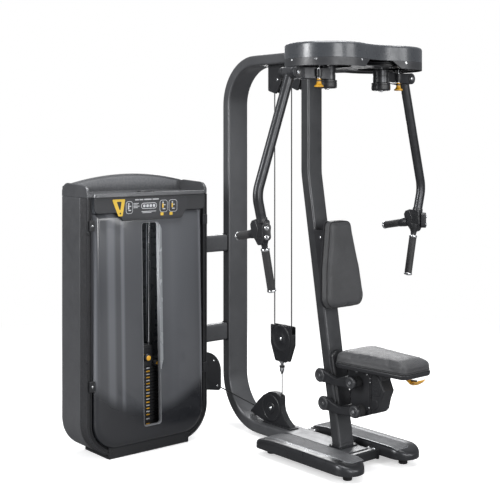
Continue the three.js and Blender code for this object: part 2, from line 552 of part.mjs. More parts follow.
// Down behind the floating pulley, under it and up again in front.
const loopRearY = floatY + FLOAT_PULLEY_RADIUS - 1, loopFrontY = floatY - FLOAT_PULLEY_RADIUS + 1;
const loopZ = floatZ - FLOAT_PULLEY_RADIUS + 4;
const loopPath = pathOf([
  [0, loopRearY, 1876], [0, loopRearY, loopZ, 62],
  [0, loopFrontY, loopZ, 62], [0, loopFrontY, 1876],
], 15);
add("arm_cable", "cable", sweep(loopPath, cableSection, [1, 0, 0]));

// ---------- top crossbeam ----------
const atHubs = (radius, z0, z1, n) =>
  SIDES.map(([sign]) => cylZ(sign * HUB_X, HUB_Y, radius, z0, z1, n));
const beamRearY = TOP_ARM_FRONT_Y - GAP;
const beamPlan = rounded([
  [-61, beamRearY], [61, beamRearY],
  [226, -262, 20], [226, -338, 20], [-226, -338, 20], [-226, -262, 20],
]);
add("top_crossbeam", "frame", cut(
  join(slabZ(beamPlan, 1958, 1990), ...atHubs(36, 1946, 2004, 28)),
  ...atHubs(SHAFT_RADIUS + GAP, 1940, 2010, 24),
));

// ---------- shroud ----------
// Plan: two lobes joined by a concave waist in front, narrowing to a neck round the top arm.
function shroudPlan(inset) {
  const lobe = LOBE_RADIUS - inset, lobeX = HUB_X + 1, lobeY = HUB_Y;
  const waist = 300 + inset, waistY = lobeY - Math.sqrt((lobe + waist) ** 2 - lobeX * lobeX);
  const frontAngle = degrees(Math.atan2(waistY - lobeY, -lobeX)); // lobe to waist centre
  const neckX = 110 - inset, neckY = 60 - inset;
  const fillet = 40 + inset, filletX = neckX + fillet;
  const filletY = lobeY + Math.sqrt((lobe + fillet) ** 2 - (filletX - lobeX) ** 2);
  const rearAngle = degrees(Math.atan2(filletY - lobeY, filletX - lobeX));
  const half = [
    ...arc(0, waistY, waist, 90, 180 + frontAngle, 4),
    ...arc(lobeX, lobeY, lobe, frontAngle, rearAngle, 21),
    ...arc(filletX, filletY, fillet, rearAngle + 180, 180, 5),
    ...rounded([[0, neckY], [neckX, filletY], [neckX, neckY, 50 - inset]]).slice(2),
  ];
  return clean([...half, ...half.map((point) => mirror(-1, point)).reverse()]);
}

// Lower half: a wall with a thin inner web, open round the hubs and the top arm.
const SLEEVE_HALF = 70.5; // half width of the opening for the top arm
const shroudWeb = cut(
  slabZ(shroudPlan(SHROUD_THICK - 1), 1913, 1917),
  ...atHubs(118, 1900, 1930, 32),
  box(-SLEEVE_HALF, SLEEVE_HALF, -60, 80, 1900, 1930),
);
const frontNotch = [
  [-128, SHROUD_Z0 - 5], [-74, SHROUD_SEAM + 2], [80, SHROUD_SEAM + 2], [131, SHROUD_Z0 - 5],
];
add("shroud_lower", "frame", cut(
  slabZ(shroudPlan(0), SHROUD_Z0, SHROUD_SEAM - GAP),
  cut(slabZ(shroudPlan(SHROUD_THICK), SHROUD_Z0 - 5, SHROUD_SEAM + 5), shroudWeb),
  box(-SLEEVE_HALF, SLEEVE_HALF, 20, 80, 1890, 1980),
  slabY(frontNotch, -520, -440),
));

// Upper half: the plan is drawn inset and grown back by the edge round.
function crown(inset) {
  const edge = CROWN_ROUND - inset, depth = 100;
  const geometry = new THREE.ExtrudeGeometry(shapeOf(shroudPlan(CROWN_ROUND)), {
    depth, bevelEnabled: true, bevelThickness: edge, bevelSize: edge, bevelSegments: 3,
  });
  return solid(geometry.translate(0, 0, SHROUD_TOP - inset - edge - depth));
}
add("shroud_upper", "frame", cut(
  crown(0),
  crown(SHROUD_THICK),
  box(-500, 500, -600, 200, 1800, SHROUD_SEAM),
  box(-SLEEVE_HALF, SLEEVE_HALF, TOP_ARM_FRONT_Y - 1, 80, 1930, 2012.6),
));

// ---------- cams, carriers and arms ----------
// Grooved cam disc, its shaft and the cap below the hub.
function cam(sign) {
  const x = sign * HUB_X, groove = CAM_RADIUS - 6;
  const disc = [
    [0, CAM_RADIUS], [5, CAM_RADIUS], [8, groove], [10, groove],
    [13, CAM_RADIUS], [CAM_Z1 - CAM_Z0, CAM_RADIUS],
  ];
  const cap = [
    [0, HUB_CAP_RADIUS - 5], [5, HUB_CAP_RADIUS], [HUB_Z0 - GAP - HUB_CAP_Z0, HUB_CAP_RADIUS],
  ];
  return join(
    turned([x, HUB_Y, CAM_Z0], UP, disc, 32),
    cylZ(x, HUB_Y, SHAFT_RADIUS, HUB_CAP_Z0 + 2, 1998, 24),
    turned([x, HUB_Y, HUB_CAP_Z0], UP, cap, 24),
  );
}

// Hub drum, web, tilt cheeks with their axle, and the pull pin's boss.
function armCarrier(sign) {
  const onSide = (points) => points.map((point) => mirror(sign, point));
  const CHEEK_X = 344, CHEEK_THICK = 21.5;
  const web = rounded([
    [HUB_X, HUB_Y - 39], [350, TILT_Y0, 8], [350, TILT_Y1, 8], [HUB_X, HUB_Y + 39],
  ]);
  const cheek = onSide([
    [CHEEK_X, 1899], ...arc(TILT_X, TILT_Z, TILT_RADIUS, 95, -95, 16), [CHEEK_X, 1851],
  ]);
  const boss = [[250, -300], [294, -300], ...arc(PULL_PIN_X, PULL_PIN_Y, 17, 0, -180, 10)];
  return cut(
    join(
      cylZ(sign * HUB_X, HUB_Y, HUB_RADIUS, HUB_Z0, HUB_Z1, 28),
      slabZ(onSide(web), 1851, 1899),
      slabY(cheek, TILT_Y0, TILT_Y0 + CHEEK_THICK),
      slabY(cheek, TILT_Y1 - CHEEK_THICK, TILT_Y1),
      cylY(sign * TILT_X, TILT_Z, 10, TILT_Y0 + 2, TILT_Y1 - 2),
      slabZ(onSide(boss), 1854, 1894),
    ),
    cylZ(sign * HUB_X, HUB_Y, SHAFT_RADIUS + GAP, 1840, 1920, 24),
    cylZ(sign * PULL_PIN_X, PULL_PIN_Y, PULL_PIN_RADIUS + GAP, 1840, 1910),
  );
}

function pullPin(sign) {
  const x = sign * PULL_PIN_X;
  const knob = [[0, 10], [8, 12], [16, 13], [27, 19], [36, 21], [40, 17]];
  return join(
    cylZ(x, PULL_PIN_Y, PULL_PIN_RADIUS, 1846, 1916),
    turned([x, PULL_PIN_Y, 1850], DOWN, knob, 20),
  );
}

// The grips, for the left side; each sits on a neck that starts before its near end.
const GRIPS = {
  vertical: {
    near: [507, -230, 1067], far: [466, -230, 867], neckLength: 60, neckRadius: 24,
    nearProfile: [[0, GRIP_COLLAR], [9, GRIP_COLLAR], [9.5, GRIP_RADIUS]],
  },
  horizontal: {
    near: [510, -138.5, 1130], far: [504, -29, 1111], neckLength: 50, neckRadius: 22,
    nearProfile: [[0, GRIP_RADIUS]],
  },
};
const gripSpan = (sign, { near, far }) => vec(mirror(sign, far)).sub(vec(mirror(sign, near)));

function grip(sign, shape) {
  const span = gripSpan(sign, shape), length = span.length();
  return turned(mirror(sign, shape.near), span.toArray(), [
    ...shape.nearProfile,
    [length - 10, GRIP_RADIUS],
    [length - 9.5, GRIP_COLLAR],
    [length - 2, GRIP_COLLAR],
    [length, 18],
  ]);
}
function gripNeck(sign, shape) {
  const direction = gripSpan(sign, shape).normalize();
  const start = vec(mirror(sign, shape.near)).addScaledVector(direction, -shape.neckLength);
  const profile = [[0, shape.neckRadius], [shape.neckLength - 0.4, 21]];
  return turned(start.toArray(), direction.toArray(), profile);
}

// Hinge barrel, bent oval tube, and the handle bracket at its foot with the two grip necks.
function arm(sign) {
  const tubeTop = [TILT_X + 3, (TILT_Y0 + TILT_Y1) / 2, 1866];
  const path = pathOf([tubeTop, ELBOW, WRIST].map((point) => mirror(sign, point)), 7);
  const oval = circle(0, 0, 1, 18).map(([a, b]) => [(a * ARM_THICK) / 2, (b * ARM_WIDTH) / 2]);
  const bracketX = sign * 525;
  const bracket = rounded([ // y, z, radius
    [-165, 1179, 8], [-176, 1198, 10], [-200, 1206, 10], [-268, 1204, 12], [-273, 1129, 24],
    [-250, 1092, 16], [-216, 1082, 10], [-183, 1121, 20], [-169, 1161, 10],
  ]);
  return cut(
    join(
      cylY(sign * TILT_X, TILT_Z, TILT_RADIUS, TILT_Y0 + 22, TILT_Y1 - 22, 32),
      sweep(path, oval, [0, 1, 0]),
      slabX(bracket, bracketX - 20, bracketX + 20),
      gripNeck(sign, GRIPS.vertical),
      gripNeck(sign, GRIPS.horizontal),
    ),
    cylY(sign * TILT_X, TILT_Z, 10 + GAP, -340, -200),
  );
}

for (const [sign, side] of SIDES) {
  add(side + "_cam", "dark", cam(sign));
  add(side + "_arm_carrier", "frame", armCarrier(sign));
  add(side + "_pull_pin", "orange", pullPin(sign));
  add(side + "_arm", "frame", arm(sign));
  add(side + "_vertical_grip", "rubber", grip(sign, GRIPS.vertical));
  add(side + "_horizontal_grip", "rubber", grip(sign, GRIPS.horizontal));
}

// ---------- back pad: drawn upright, then tilted about its top edge ----------
const PAD_TOP_Y = -211, PAD_TOP_Z = 1176, PAD_BACK_Y = -156;
const PAD_RUN = 36, PAD_RISE = 376; // the tilt, as forward run over rise
const padTilt = new THREE.Matrix4().makeTranslation(0, PAD_TOP_Y, PAD_TOP_Z)
  .multiply(new THREE.Matrix4().makeRotationX(-Math.atan2(PAD_RUN, PAD_RISE)))
  .multiply(new THREE.Matrix4().makeTranslation(0, -PAD_TOP_Y, -PAD_TOP_Z));
function padFace(inset) {
  const topRadius = 32 - inset * 0.6;
  return rounded([
    [-75 + inset, PAD_TOP_Z - inset, topRadius], [75 - inset, PAD_TOP_Z - inset, topRadius],
    [122 - inset, 930, 300], [134 - inset, 790, 60], [112 - inset, 744 + inset, 50 - inset],
    [-112 + inset, 744 + inset, 50 - inset], [-134 + inset, 790, 60], [-122 + inset, 930, 300],
  ], -5);
}
const padRings = [ // inset, y
  [12, PAD_BACK_Y], [2, -160], [0, -168], [0, -192], [3, -202], [9, -208], [18, PAD_TOP_Y],
].map(([inset, y]) => padFace(inset).map(([x, z]) => vec([x, y, z])));
add("back_pad", "pad", loft(padRings), padTilt);

// Wedge between the pad's back and the column's front.
const wedgeFront = (z) => PAD_BACK_Y - ((PAD_TOP_Z - z) * PAD_RUN) / PAD_RISE + 1.4;
const wedgeRear = (z) => columnY(z) - (COLUMN_THICK / 2) * Math.hypot(1, COLUMN_SLOPE) - 0.6;
add("back_pad_bracket", "dark", slabX(rounded([
  [wedgeFront(1120), 1120, 4], [wedgeRear(1120), 1120],
  [wedgeRear(800), 800], [wedgeFront(800), 800, 4],
]), -58, 58));

// ---------- seat ----------
function seatPlan(inset) {
  const rearY = -285 - inset, frontY = -710 + inset;
  const rearRadius = 38 - inset * 0.3, frontRadius = 30 - inset * 0.3;
  return rounded([
    [-140 + inset, rearY, rearRadius], [-98 + inset, frontY, frontRadius],
    [98 - inset, frontY, frontRadius], [140 - inset, rearY, rearRadius],
  ], -8);
}
const seatRings = [ // inset, z
  [6, 503.3], [1, 507], [0, 513], [0, 538], [3, 547], [10, 555], [24, 562], [48, 567], [70, 569],
].map(([inset, z]) => seatPlan(inset).map(([x, y]) => vec([x, y, z])));
add("seat_pad", "pad", loft(seatRings));

// Carriage body and its narrower nose, as y, z, radius, under a plate the shape of the pad.
const carriageBody = rounded([
  [-292, 489, 6], [-296, 420, 20], [-318, 352, 12], [-318, 246, 8],
  [-330, 238, 6], [-406, 263, 10], [-446, 276, 10], [-446, 489, 6],
]);
const carriageNose = rounded([
  [-440, 489], [-440, 272], [-478, 285, 12], [-495, 310, 16],
  [-527, 386, 20], [-507, 432, 16], [-514, 489, 4],
]);
add("seat_carriage", "dark", join(
  slabX(carriageBody, -44, 44),
  slabX(carriageNose, -36, 36),
  slabZ(seatPlan(8), 488, 503),
  ...linkPivot(LINK_FRONT_UP),
  ...linkPivot(LINK_FRONT_LOW),
));

// Two side bars with wide rounded ends, joined by a cross rod near the rear pivot.
function seatLink([rearY, rearZ], [frontY, frontZ]) {
  const outline = [
    ...arc(rearY, rearZ, 36, -60, 60, 8), [rearY - 70, rearZ + 22], [frontY + 66, frontZ + 21],
    ...arc(frontY, frontZ, 31, 120, 240, 8), [frontY + 66, frontZ - 21], [rearY - 70, rearZ - 22],
  ];
  return cut(
    join(
      slabX(outline, -LINK_X1, -LINK_X0),
      slabX(outline, LINK_X0, LINK_X1),
      cylX(rearY - 97, rearZ, 12, -82, 82),
    ),
    cylX(rearY, rearZ, AXLE_RADIUS + GAP, -120, 120),
    cylX(frontY, frontZ, AXLE_RADIUS + GAP, -120, 120),
  );
}
add("upper_seat_link", "frame", seatLink(LINK_REAR_UP, LINK_FRONT_UP));
add("lower_seat_link", "frame", seatLink(LINK_REAR_LOW, LINK_FRONT_LOW));

// Cross rod with an arm and a flat handle on the user's left, as y, z, radius.
const leverArm = rounded([[-520, 468], [-520, 455], [-600, 441, 6], [-600, 452, 4]]);
const leverHandle = rounded([
  [-572, 458, 5], [-572, 442, 5], [-612, 428, 12], [-652, 432, 5], [-652, 446, 5], [-612, 450, 20],
]);
add("seat_lever", "orange", join(
  cylX(-526, 462, 7, -30, 96, 16),
  slabX(leverArm, 76, 92),
  slabX(leverHandle, 60, 110),
));

export default group;
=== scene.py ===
import math

import bmesh
import bpy
from mathutils import Matrix, Vector


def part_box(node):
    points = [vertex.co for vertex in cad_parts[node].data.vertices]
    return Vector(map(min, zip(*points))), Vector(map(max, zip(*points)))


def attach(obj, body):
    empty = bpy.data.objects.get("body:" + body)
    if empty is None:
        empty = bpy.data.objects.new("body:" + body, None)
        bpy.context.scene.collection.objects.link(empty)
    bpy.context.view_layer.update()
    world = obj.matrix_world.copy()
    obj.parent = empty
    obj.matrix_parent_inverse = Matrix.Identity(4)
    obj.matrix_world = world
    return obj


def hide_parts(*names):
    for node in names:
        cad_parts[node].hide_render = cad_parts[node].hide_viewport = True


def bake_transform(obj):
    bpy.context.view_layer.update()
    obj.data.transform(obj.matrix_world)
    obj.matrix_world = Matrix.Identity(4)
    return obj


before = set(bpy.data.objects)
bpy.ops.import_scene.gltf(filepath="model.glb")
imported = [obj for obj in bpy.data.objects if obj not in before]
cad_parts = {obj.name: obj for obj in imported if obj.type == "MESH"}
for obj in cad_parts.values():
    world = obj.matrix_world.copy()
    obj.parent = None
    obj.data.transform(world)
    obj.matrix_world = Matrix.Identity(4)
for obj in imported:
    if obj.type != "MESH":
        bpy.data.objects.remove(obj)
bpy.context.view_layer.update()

# The drawing axes of the part (mm) against the row frame (m), read off one plain box of the frame.
_lo, _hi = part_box("tower_base")
OX = -877 - 1000 * _lo[0]
OY = 740 - 1000 * _hi[1]


def V(x, y, z):
    return Vector(((x - OX) / 1000, (y - OY) / 1000, z / 1000))


# ------------------------------------------------------------------ materials
MATS = {}


def _new(name):
    m = bpy.data.materials.new(name)
    m.use_nodes = True
    nt = m.node_tree
    nt.nodes.clear()
    out = nt.nodes.new("ShaderNodeOutputMaterial")
    bsdf = nt.nodes.new("ShaderNodeBsdfPrincipled")
    nt.links.new(bsdf.outputs[0], out.inputs[0])
    MATS[name] = m
    return m, nt, bsdf


def _noise(nt, vec, scale, detail=3.0, rough=0.55):
    n = nt.nodes.new("ShaderNodeTexNoise")
    n.inputs["Scale"].default_value = scale
    n.inputs["Detail"].default_value = detail
    n.inputs["Roughness"].default_value = rough
    nt.links.new(vec, n.inputs["Vector"])
    return n.outputs["Fac"]


def _map(nt, value, a0, a1, b0, b1, smooth=False):
    r = nt.nodes.new("ShaderNodeMapRange")
    r.inputs["From Min"].default_value = a0
    r.inputs["From Max"].default_value = a1
    r.inputs["To Min"].default_value = b0
    r.inputs["To Max"].default_value = b1
    if smooth:
        r.interpolation_type = "SMOOTHSTEP"
    nt.links.new(value, r.inputs["Value"])
    return r.outputs[0]


def _mix(nt, fac, a, b):
    m = nt.nodes.new("ShaderNodeMix")
    m.data_type = "RGBA"
    for sock, val in ((m.inputs[0], fac), (m.inputs[6], a), (m.inputs[7], b)):
        if isinstance(val, (tuple, list)):
            sock.default_value = (*val[:3], 1.0)
        elif isinstance(val, (int, float)):
            sock.default_value = val
        else:
            nt.links.new(val, sock)
    return m.outputs[2]


def _math(nt, op, a, b=None, c=None):
    m = nt.nodes.new("ShaderNodeMath")
    m.operation = op
    for i, val in enumerate((a, b, c)):
        if val is None:
            continue
        if isinstance(val, (int, float)):
            m.inputs[i].default_value = val
        else:
            nt.links.new(val, m.inputs[i])
    return m.outputs[0]


def _bump(nt, bsdf, height, strength, distance):
    b = nt.nodes.new("ShaderNodeBump")
    b.inputs["Strength"].default_value = strength
    b.inputs["Distance"].default_value = distance
    nt.links.new(height, b.inputs["Height"])
    nt.links.new(b.outputs[0], bsdf.inputs["Normal"])
    return b


def surface(name, base, rough=0.4, metal=0.0, var=0.12, var_scale=7, grain=0.1, grain_scale=1400, wear_and_highlight=0.0, coat=0.0, sheen=0.0, rough_var=0.08, streak=False):
    """A moulded or coated surface: slow colour drift, roughness drift, a fine grain and lighter edges, partly wear and
    partly a painted highlight.
    """
    m, nt, bsdf = _new(name)
    tc = nt.nodes.new("ShaderNodeTexCoord")
    vec = tc.outputs["Object"]
    if streak:
        mp = nt.nodes.new("ShaderNodeMapping")
        mp.inputs["Scale"].default_value = (1, 1, 0.06)
        nt.links.new(vec, mp.inputs["Vector"])
        slow_vec = mp.outputs[0]
    else:
        slow_vec = vec
    slow = _noise(nt, slow_vec, var_scale, 4)
    dark = tuple(c * (1 - var) for c in base)
    light = tuple(min(1, c * (1 + var)) for c in base)
    col = _mix(nt, _map(nt, slow, 0.3, 0.7, 0, 1), dark, light)
    speck = _noise(nt, vec, grain_scale * 0.7, 2)
    col = _mix(nt, _map(nt, speck, 0.56, 0.72, 0, 0.35 if metal > 0.3 else 0.15), col, tuple(min(1, c * 1.9 + 0.01) for c in base))
    # lighter edges by pointiness, broken up by a scuff noise: partly wear, partly a painted edge highlight
    if wear_and_highlight:
        geo = nt.nodes.new("ShaderNodeNewGeometry")
        edge = _map(nt, geo.outputs["Pointiness"], 0.52, 0.60, 0, wear_and_highlight)
        scr = _map(nt, _noise(nt, vec, 90, 5), 0.35, 0.65, 0.3, 1)
        col = _mix(nt, _math(nt, "MULTIPLY", edge, scr), col, tuple(min(1, c * 3 + 0.05) for c in base))
    nt.links.new(col, bsdf.inputs["Base Color"])
    bsdf.inputs["Metallic"].default_value = metal
    r = _map(nt, _noise(nt, vec, var_scale * 3.3, 4), 0.3, 0.7, max(0.02, rough - rough_var), rough + rough_var)
    nt.links.new(r, bsdf.inputs["Roughness"])
    bsdf.inputs["Coat Weight"].default_value = coat
    bsdf.inputs["Coat Roughness"].default_value = 0.15
    if sheen:
        bsdf.inputs["Sheen Weight"].default_value = sheen
        bsdf.inputs["Sheen Roughness"].default_value = 0.5
    _bump(nt, bsdf, _noise(nt, vec, grain_scale, 3), grain, 0.0006)
    return m


def leather(name, base):
    """Upholstery vinyl: pebbled cells with creases between them, the creases darkened as painted shade, a little sheen
    and soft tonal drift.
    """
    m, nt, bsdf = _new(name)
    tc = nt.nodes.new("ShaderNodeTexCoord")
    vec = tc.outputs["Object"]
    warp = nt.nodes.new("ShaderNodeVectorMath")
    warp.operation = "ADD"
    wn = nt.nodes.new("ShaderNodeTexNoise")
    wn.inputs["Scale"].default_value = 260
    nt.links.new(vec, wn.inputs["Vector"])
    sc = nt.nodes.new("ShaderNodeVectorMath")
    sc.operation = "SCALE"
    sc.inputs["Scale"].default_value = 0.0016
    nt.links.new(wn.outputs["Color"], sc.inputs[0])
    nt.links.new(vec, warp.inputs[0])
    nt.links.new(sc.outputs[0], warp.inputs[1])
    vo = nt.nodes.new("ShaderNodeTexVoronoi")
    vo.feature = "DISTANCE_TO_EDGE"
    vo.inputs["Scale"].default_value = 520
    nt.links.new(warp.outputs[0], vo.inputs["Vector"])
    cell = _map(nt, vo.outputs["Distance"], 0.0, 0.22, 0, 1, True)
    slow = _noise(nt, vec, 9, 4)
    col = _mix(nt, _map(nt, slow, 0.3, 0.7, 0, 1), tuple(c * 0.86 for c in base), tuple(c * 1.12 for c in base))
    # the creases between cells are darkened: painted shade
    col = _mix(nt, _map(nt, cell, 0, 1, 0.45, 0), col, tuple(c * 0.45 for c in base))
    nt.links.new(col, bsdf.inputs["Base Color"])
    nt.links.new(_map(nt, _noise(nt, vec, 30, 4), 0.3, 0.7, 0.42, 0.56), bsdf.inputs["Roughness"])
    bsdf.inputs["Sheen Weight"].default_value = 0.12
    bsdf.inputs["Sheen Roughness"].default_value = 0.45
    h = _math(nt, "ADD", cell, _math(nt, "MULTIPLY", _noise(nt, vec, 1700, 2), 0.35))
    _bump(nt, bsdf, h, 0.32, 0.0007)
    return m


def ribbed(name, base, axis, pitch, rough=0.6, depth=0.0012, strength=0.5):
    """A rubber or plastic with fine parallel ribs along one axis of the row frame, darker in the grooves between ribs
    as painted shade.
    """
    m, nt, bsdf = _new(name)
    tc = nt.nodes.new("ShaderNodeTexCoord")
    vec = tc.outputs["Object"]
    sep = nt.nodes.new("ShaderNodeSeparateXYZ")
    nt.links.new(vec, sep.inputs[0])
    wave = _math(nt, "SINE", _math(nt, "MULTIPLY", sep.outputs["XYZ".index(axis)], 2 * math.pi / pitch))
    slow = _noise(nt, vec, 12, 3)
    col = _mix(nt, _map(nt, slow, 0.3, 0.7, 0, 1), tuple(c * 0.82 for c in base), tuple(c * 1.18 for c in base))
    # darker in the troughs of the ribs: painted shade
    col = _mix(nt, _map(nt, wave, -1, 1, 0.5, 0), col, tuple(c * 0.4 for c in base))
    nt.links.new(col, bsdf.inputs["Base Color"])
    nt.links.new(_map(nt, _noise(nt, vec, 60, 4), 0.3, 0.7, rough - 0.06, rough + 0.06), bsdf.inputs["Roughness"])
    h = _math(nt, "ADD", wave, _math(nt, "MULTIPLY", _noise(nt, vec, 1500, 2), 0.3))
    _bump(nt, bsdf, h, strength, depth)
    return m


def smoked_shield(name):
    """Smoked glossy sheet with painted light in its colour: paler towards the top, soft upright bands of painted
    reflection, painted highlights along both side edges and a painted dark reflection at the foot that curves up at
    both sides.
    """
    m, nt, bsdf = _new(name)
    tc = nt.nodes.new("ShaderNodeTexCoord")
    sep = nt.nodes.new("ShaderNodeSeparateXYZ")
    nt.links.new(tc.outputs["Object"], sep.inputs[0])
    x, z = sep.outputs[0], sep.outputs[2]
    x0, x1 = V(-966, 0, 0)[0], V(-306, 0, 0)[0]
    t = _map(nt, x, x0, x1, 0, 1)
    ramp = nt.nodes.new("ShaderNodeValToRGB")
    nt.links.new(t, ramp.inputs[0])
    e = ramp.color_ramp.elements
    # brightness across the sheet: the upright bands are painted reflections, the bright ends painted edge highlights
    painted_reflection_stops = [(0.0, 0.20), (0.012, 0.20), (0.03, 0.085), (0.10, 0.10), (0.127, 0.178), (0.165, 0.178), (0.19, 0.10), (0.222, 0.10), (0.237, 0.20), (0.25, 0.20), (0.268, 0.105), (0.42, 0.105), (0.60, 0.12), (0.70, 0.15), (0.90, 0.125), (0.945, 0.11), (0.965, 0.22), (0.985, 0.20), (1.0, 0.10)]
    e[0].position, e[1].position = 0.0, 1.0
    for p, _ in painted_reflection_stops[1:-1]:
        e.new(p)
    for el, (p, v) in zip(sorted(ramp.color_ramp.elements, key=lambda q: q.position), painted_reflection_stops):
        el.position = p
        el.color = (v * 0.95, v * 0.985, v * 1.07, 1)
    # the painted dark reflection at the foot: below an arc that dips in the middle
    dx = _math(nt, "SUBTRACT", t, 0.52)
    arc_h = _math(nt, "MULTIPLY_ADD", _math(nt, "MULTIPLY", dx, dx), 0.55, 0.20)
    foot = _map(nt, _math(nt, "SUBTRACT", z, arc_h), -0.03, 0.055, 0, 1, True)
    # paler towards the top: painted light
    up = _map(nt, z, 0.15, 1.15, 0.72, 1.12)
    bright = _mix(nt, _map(nt, up, 0, 1.2, 0, 1), (0.01, 0.011, 0.013), ramp.outputs[0])
    col = _mix(nt, foot, (0.018, 0.019, 0.022), bright)
    nt.links.new(col, bsdf.inputs["Base Color"])
    bsdf.inputs["Metallic"].default_value = 0.0
    nt.links.new(_map(nt, _noise(nt, tc.outputs["Object"], 5, 3), 0.3, 0.7, 0.14, 0.22), bsdf.inputs["Roughness"])
    bsdf.inputs["Coat Weight"].default_value = 0.5
    bsdf.inputs["Coat Roughness"].default_value = 0.06
    _bump(nt, bsdf, _noise(nt, tc.outputs["Object"], 2.2, 2), 0.06, 0.004)
    return m


POWDER = surface("powder_graphite", (0.038, 0.039, 0.042), rough=0.34, metal=0.6, var=0.10, grain=0.16, grain_scale=1500, wear_and_highlight=0.35, coat=0.12)
# the next three are lighter copies of the graphite powder coat, for the tower band and tray walls, the main and link
# tubes and the column: painted light, each set to how brightly that part is lit
POWDER_LIT_SIDE = surface("powder_graphite_side_painted_lit", (0.098, 0.100, 0.105), rough=0.38, metal=0.5, var=0.08, grain=0.14, grain_scale=1500, wear_and_highlight=0.3, coat=0.08)
POWDER_LIT_TUBE = surface("powder_graphite_tube_painted_lit", (0.092, 0.094, 0.099), rough=0.40, metal=0.45, var=0.08, grain=0.14, grain_scale=1500, wear_and_highlight=0.3, coat=0.10)
POWDER_LIT_COLUMN = surface("powder_graphite_column_painted_lit", (0.060, 0.0615, 0.065), rough=0.38, metal=0.5, var=0.08, grain=0.14, grain_scale=1500, wear_and_highlight=0.3, coat=0.10)
DARK = surface("dark_coat", (0.022, 0.0225, 0.025), rough=0.45, metal=0.35, var=0.15, grain=0.16, grain_scale=1300, wear_and_highlight=0.25)
PLASTIC = surface("black_moulding", (0.014, 0.0145, 0.0165), rough=0.38, var=0.14, grain=0.3, grain_scale=900, wear_and_highlight=0.2)
PLASTIC_GREY = surface("shroud_moulding", (0.050, 0.054, 0.060), rough=0.30, metal=0.12, var=0.08, grain=0.12, grain_scale=1100, wear_and_highlight=0.25, coat=0.25)
FLANGE = surface("slot_flange", (0.17, 0.175, 0.185), rough=0.35, var=0.1, grain=0.08, coat=0.3)
# a pale streaked copy for the strip down the slot's right edge: painted highlight
FLANGE_HIGHLIGHT = surface("slot_flange_painted_highlight", (0.34, 0.355, 0.37), rough=0.25, metal=0.3, var=0.12, grain=0.06, coat=0.4, streak=True)
PLASTIC_GREY_LOW = surface("shroud_skirt_moulding", (0.034, 0.035, 0.038), rough=0.42, metal=0.12, var=0.08, grain=0.14, grain_scale=1100, wear_and_highlight=0.25)
TRAY = surface("tray_moulding", (0.075, 0.077, 0.082), rough=0.5, var=0.1, grain=0.35, grain_scale=700, wear_and_highlight=0.3)
SILVER = surface("bright_steel", (0.62, 0.63, 0.64), rough=0.24, metal=1.0, var=0.06, grain=0.05, grain_scale=600, wear_and_highlight=0.0)
CHROME = surface("chromed_rod", (0.66, 0.67, 0.68), rough=0.12, metal=1.0, var=0.05, grain=0.03, grain_scale=500, streak=True)
# bright strips along the rail tops: painted highlight on raised trim
TRIM_HIGHLIGHT = surface("trim_line_painted_highlight", (0.36, 0.37, 0.385), rough=0.3, metal=0.8, var=0.08, grain=0.06)
IRON = surface("painted_iron", (0.028, 0.0285, 0.030), rough=0.5, metal=0.25, var=0.2, grain=0.45, grain_scale=420, wear_and_highlight=0.3)
ORANGE = surface("amber_plastic", (0.80, 0.41, 0.03), rough=0.36, var=0.12, grain=0.12, grain_scale=800, coat=0.3)
YELLOW = surface("yellow_panel", (0.72, 0.47, 0.05), rough=0.45, var=0.08, grain=0.08)
PALE = surface("pale_print", (0.55, 0.56, 0.58), rough=0.5, var=0.06, grain=0.05)
PLACARD = surface("placard_sheet", (0.036, 0.037, 0.041), rough=0.35, var=0.1, grain=0.08, grain_scale=700)
RUBBER = surface("foot_rubber", (0.014, 0.014, 0.015), rough=0.75, var=0.2, grain=0.5, grain_scale=600)
CABLE = surface("cable_jacket", (0.008, 0.008, 0.009), rough=0.6, var=0.15, grain=0.15, grain_scale=1200)
NYLON = surface("pulley_nylon", (0.075, 0.076, 0.079), rough=0.4, var=0.15, grain=0.12, grain_scale=900)
TREAD = ribbed("tread_rubber", (0.115, 0.118, 0.124), "Y", 0.0125, rough=0.55, depth=0.0015, strength=0.35)
STRIP = ribbed("ridged_strip", (0.022, 0.0225, 0.025), "Y", 0.0095, rough=0.5, depth=0.0016, strength=0.6)
GRIP = surface("grip_rubber", (0.020, 0.020, 0.021), rough=0.62, var=0.18, grain=0.8, grain_scale=330, sheen=0.1)
LEATHER = leather("pad_vinyl", (0.050, 0.051, 0.054))
# a darker copy of the pad vinyl for the pad sides: painted shade; no object uses it
LEATHER_SHADED_SIDE = leather("pad_vinyl_side_painted_shade", (0.030, 0.030, 0.032))
SHIELD = smoked_shield("smoked_shield")

# ------------------------------------------------------------------ shape helpers (drawing millimetres)


def arc(cx, cy, r, a0, a1, n):
    return [(cx + r * math.cos(math.radians(a0 + (a1 - a0) * i / n)), cy + r * math.sin(math.radians(a0 + (a1 - a0) * i / n))) for i in range(n + 1)]


def circle(cx, cy, r, n=64):
    return arc(cx, cy, r, 0, 360 - 360 / n, n - 1)


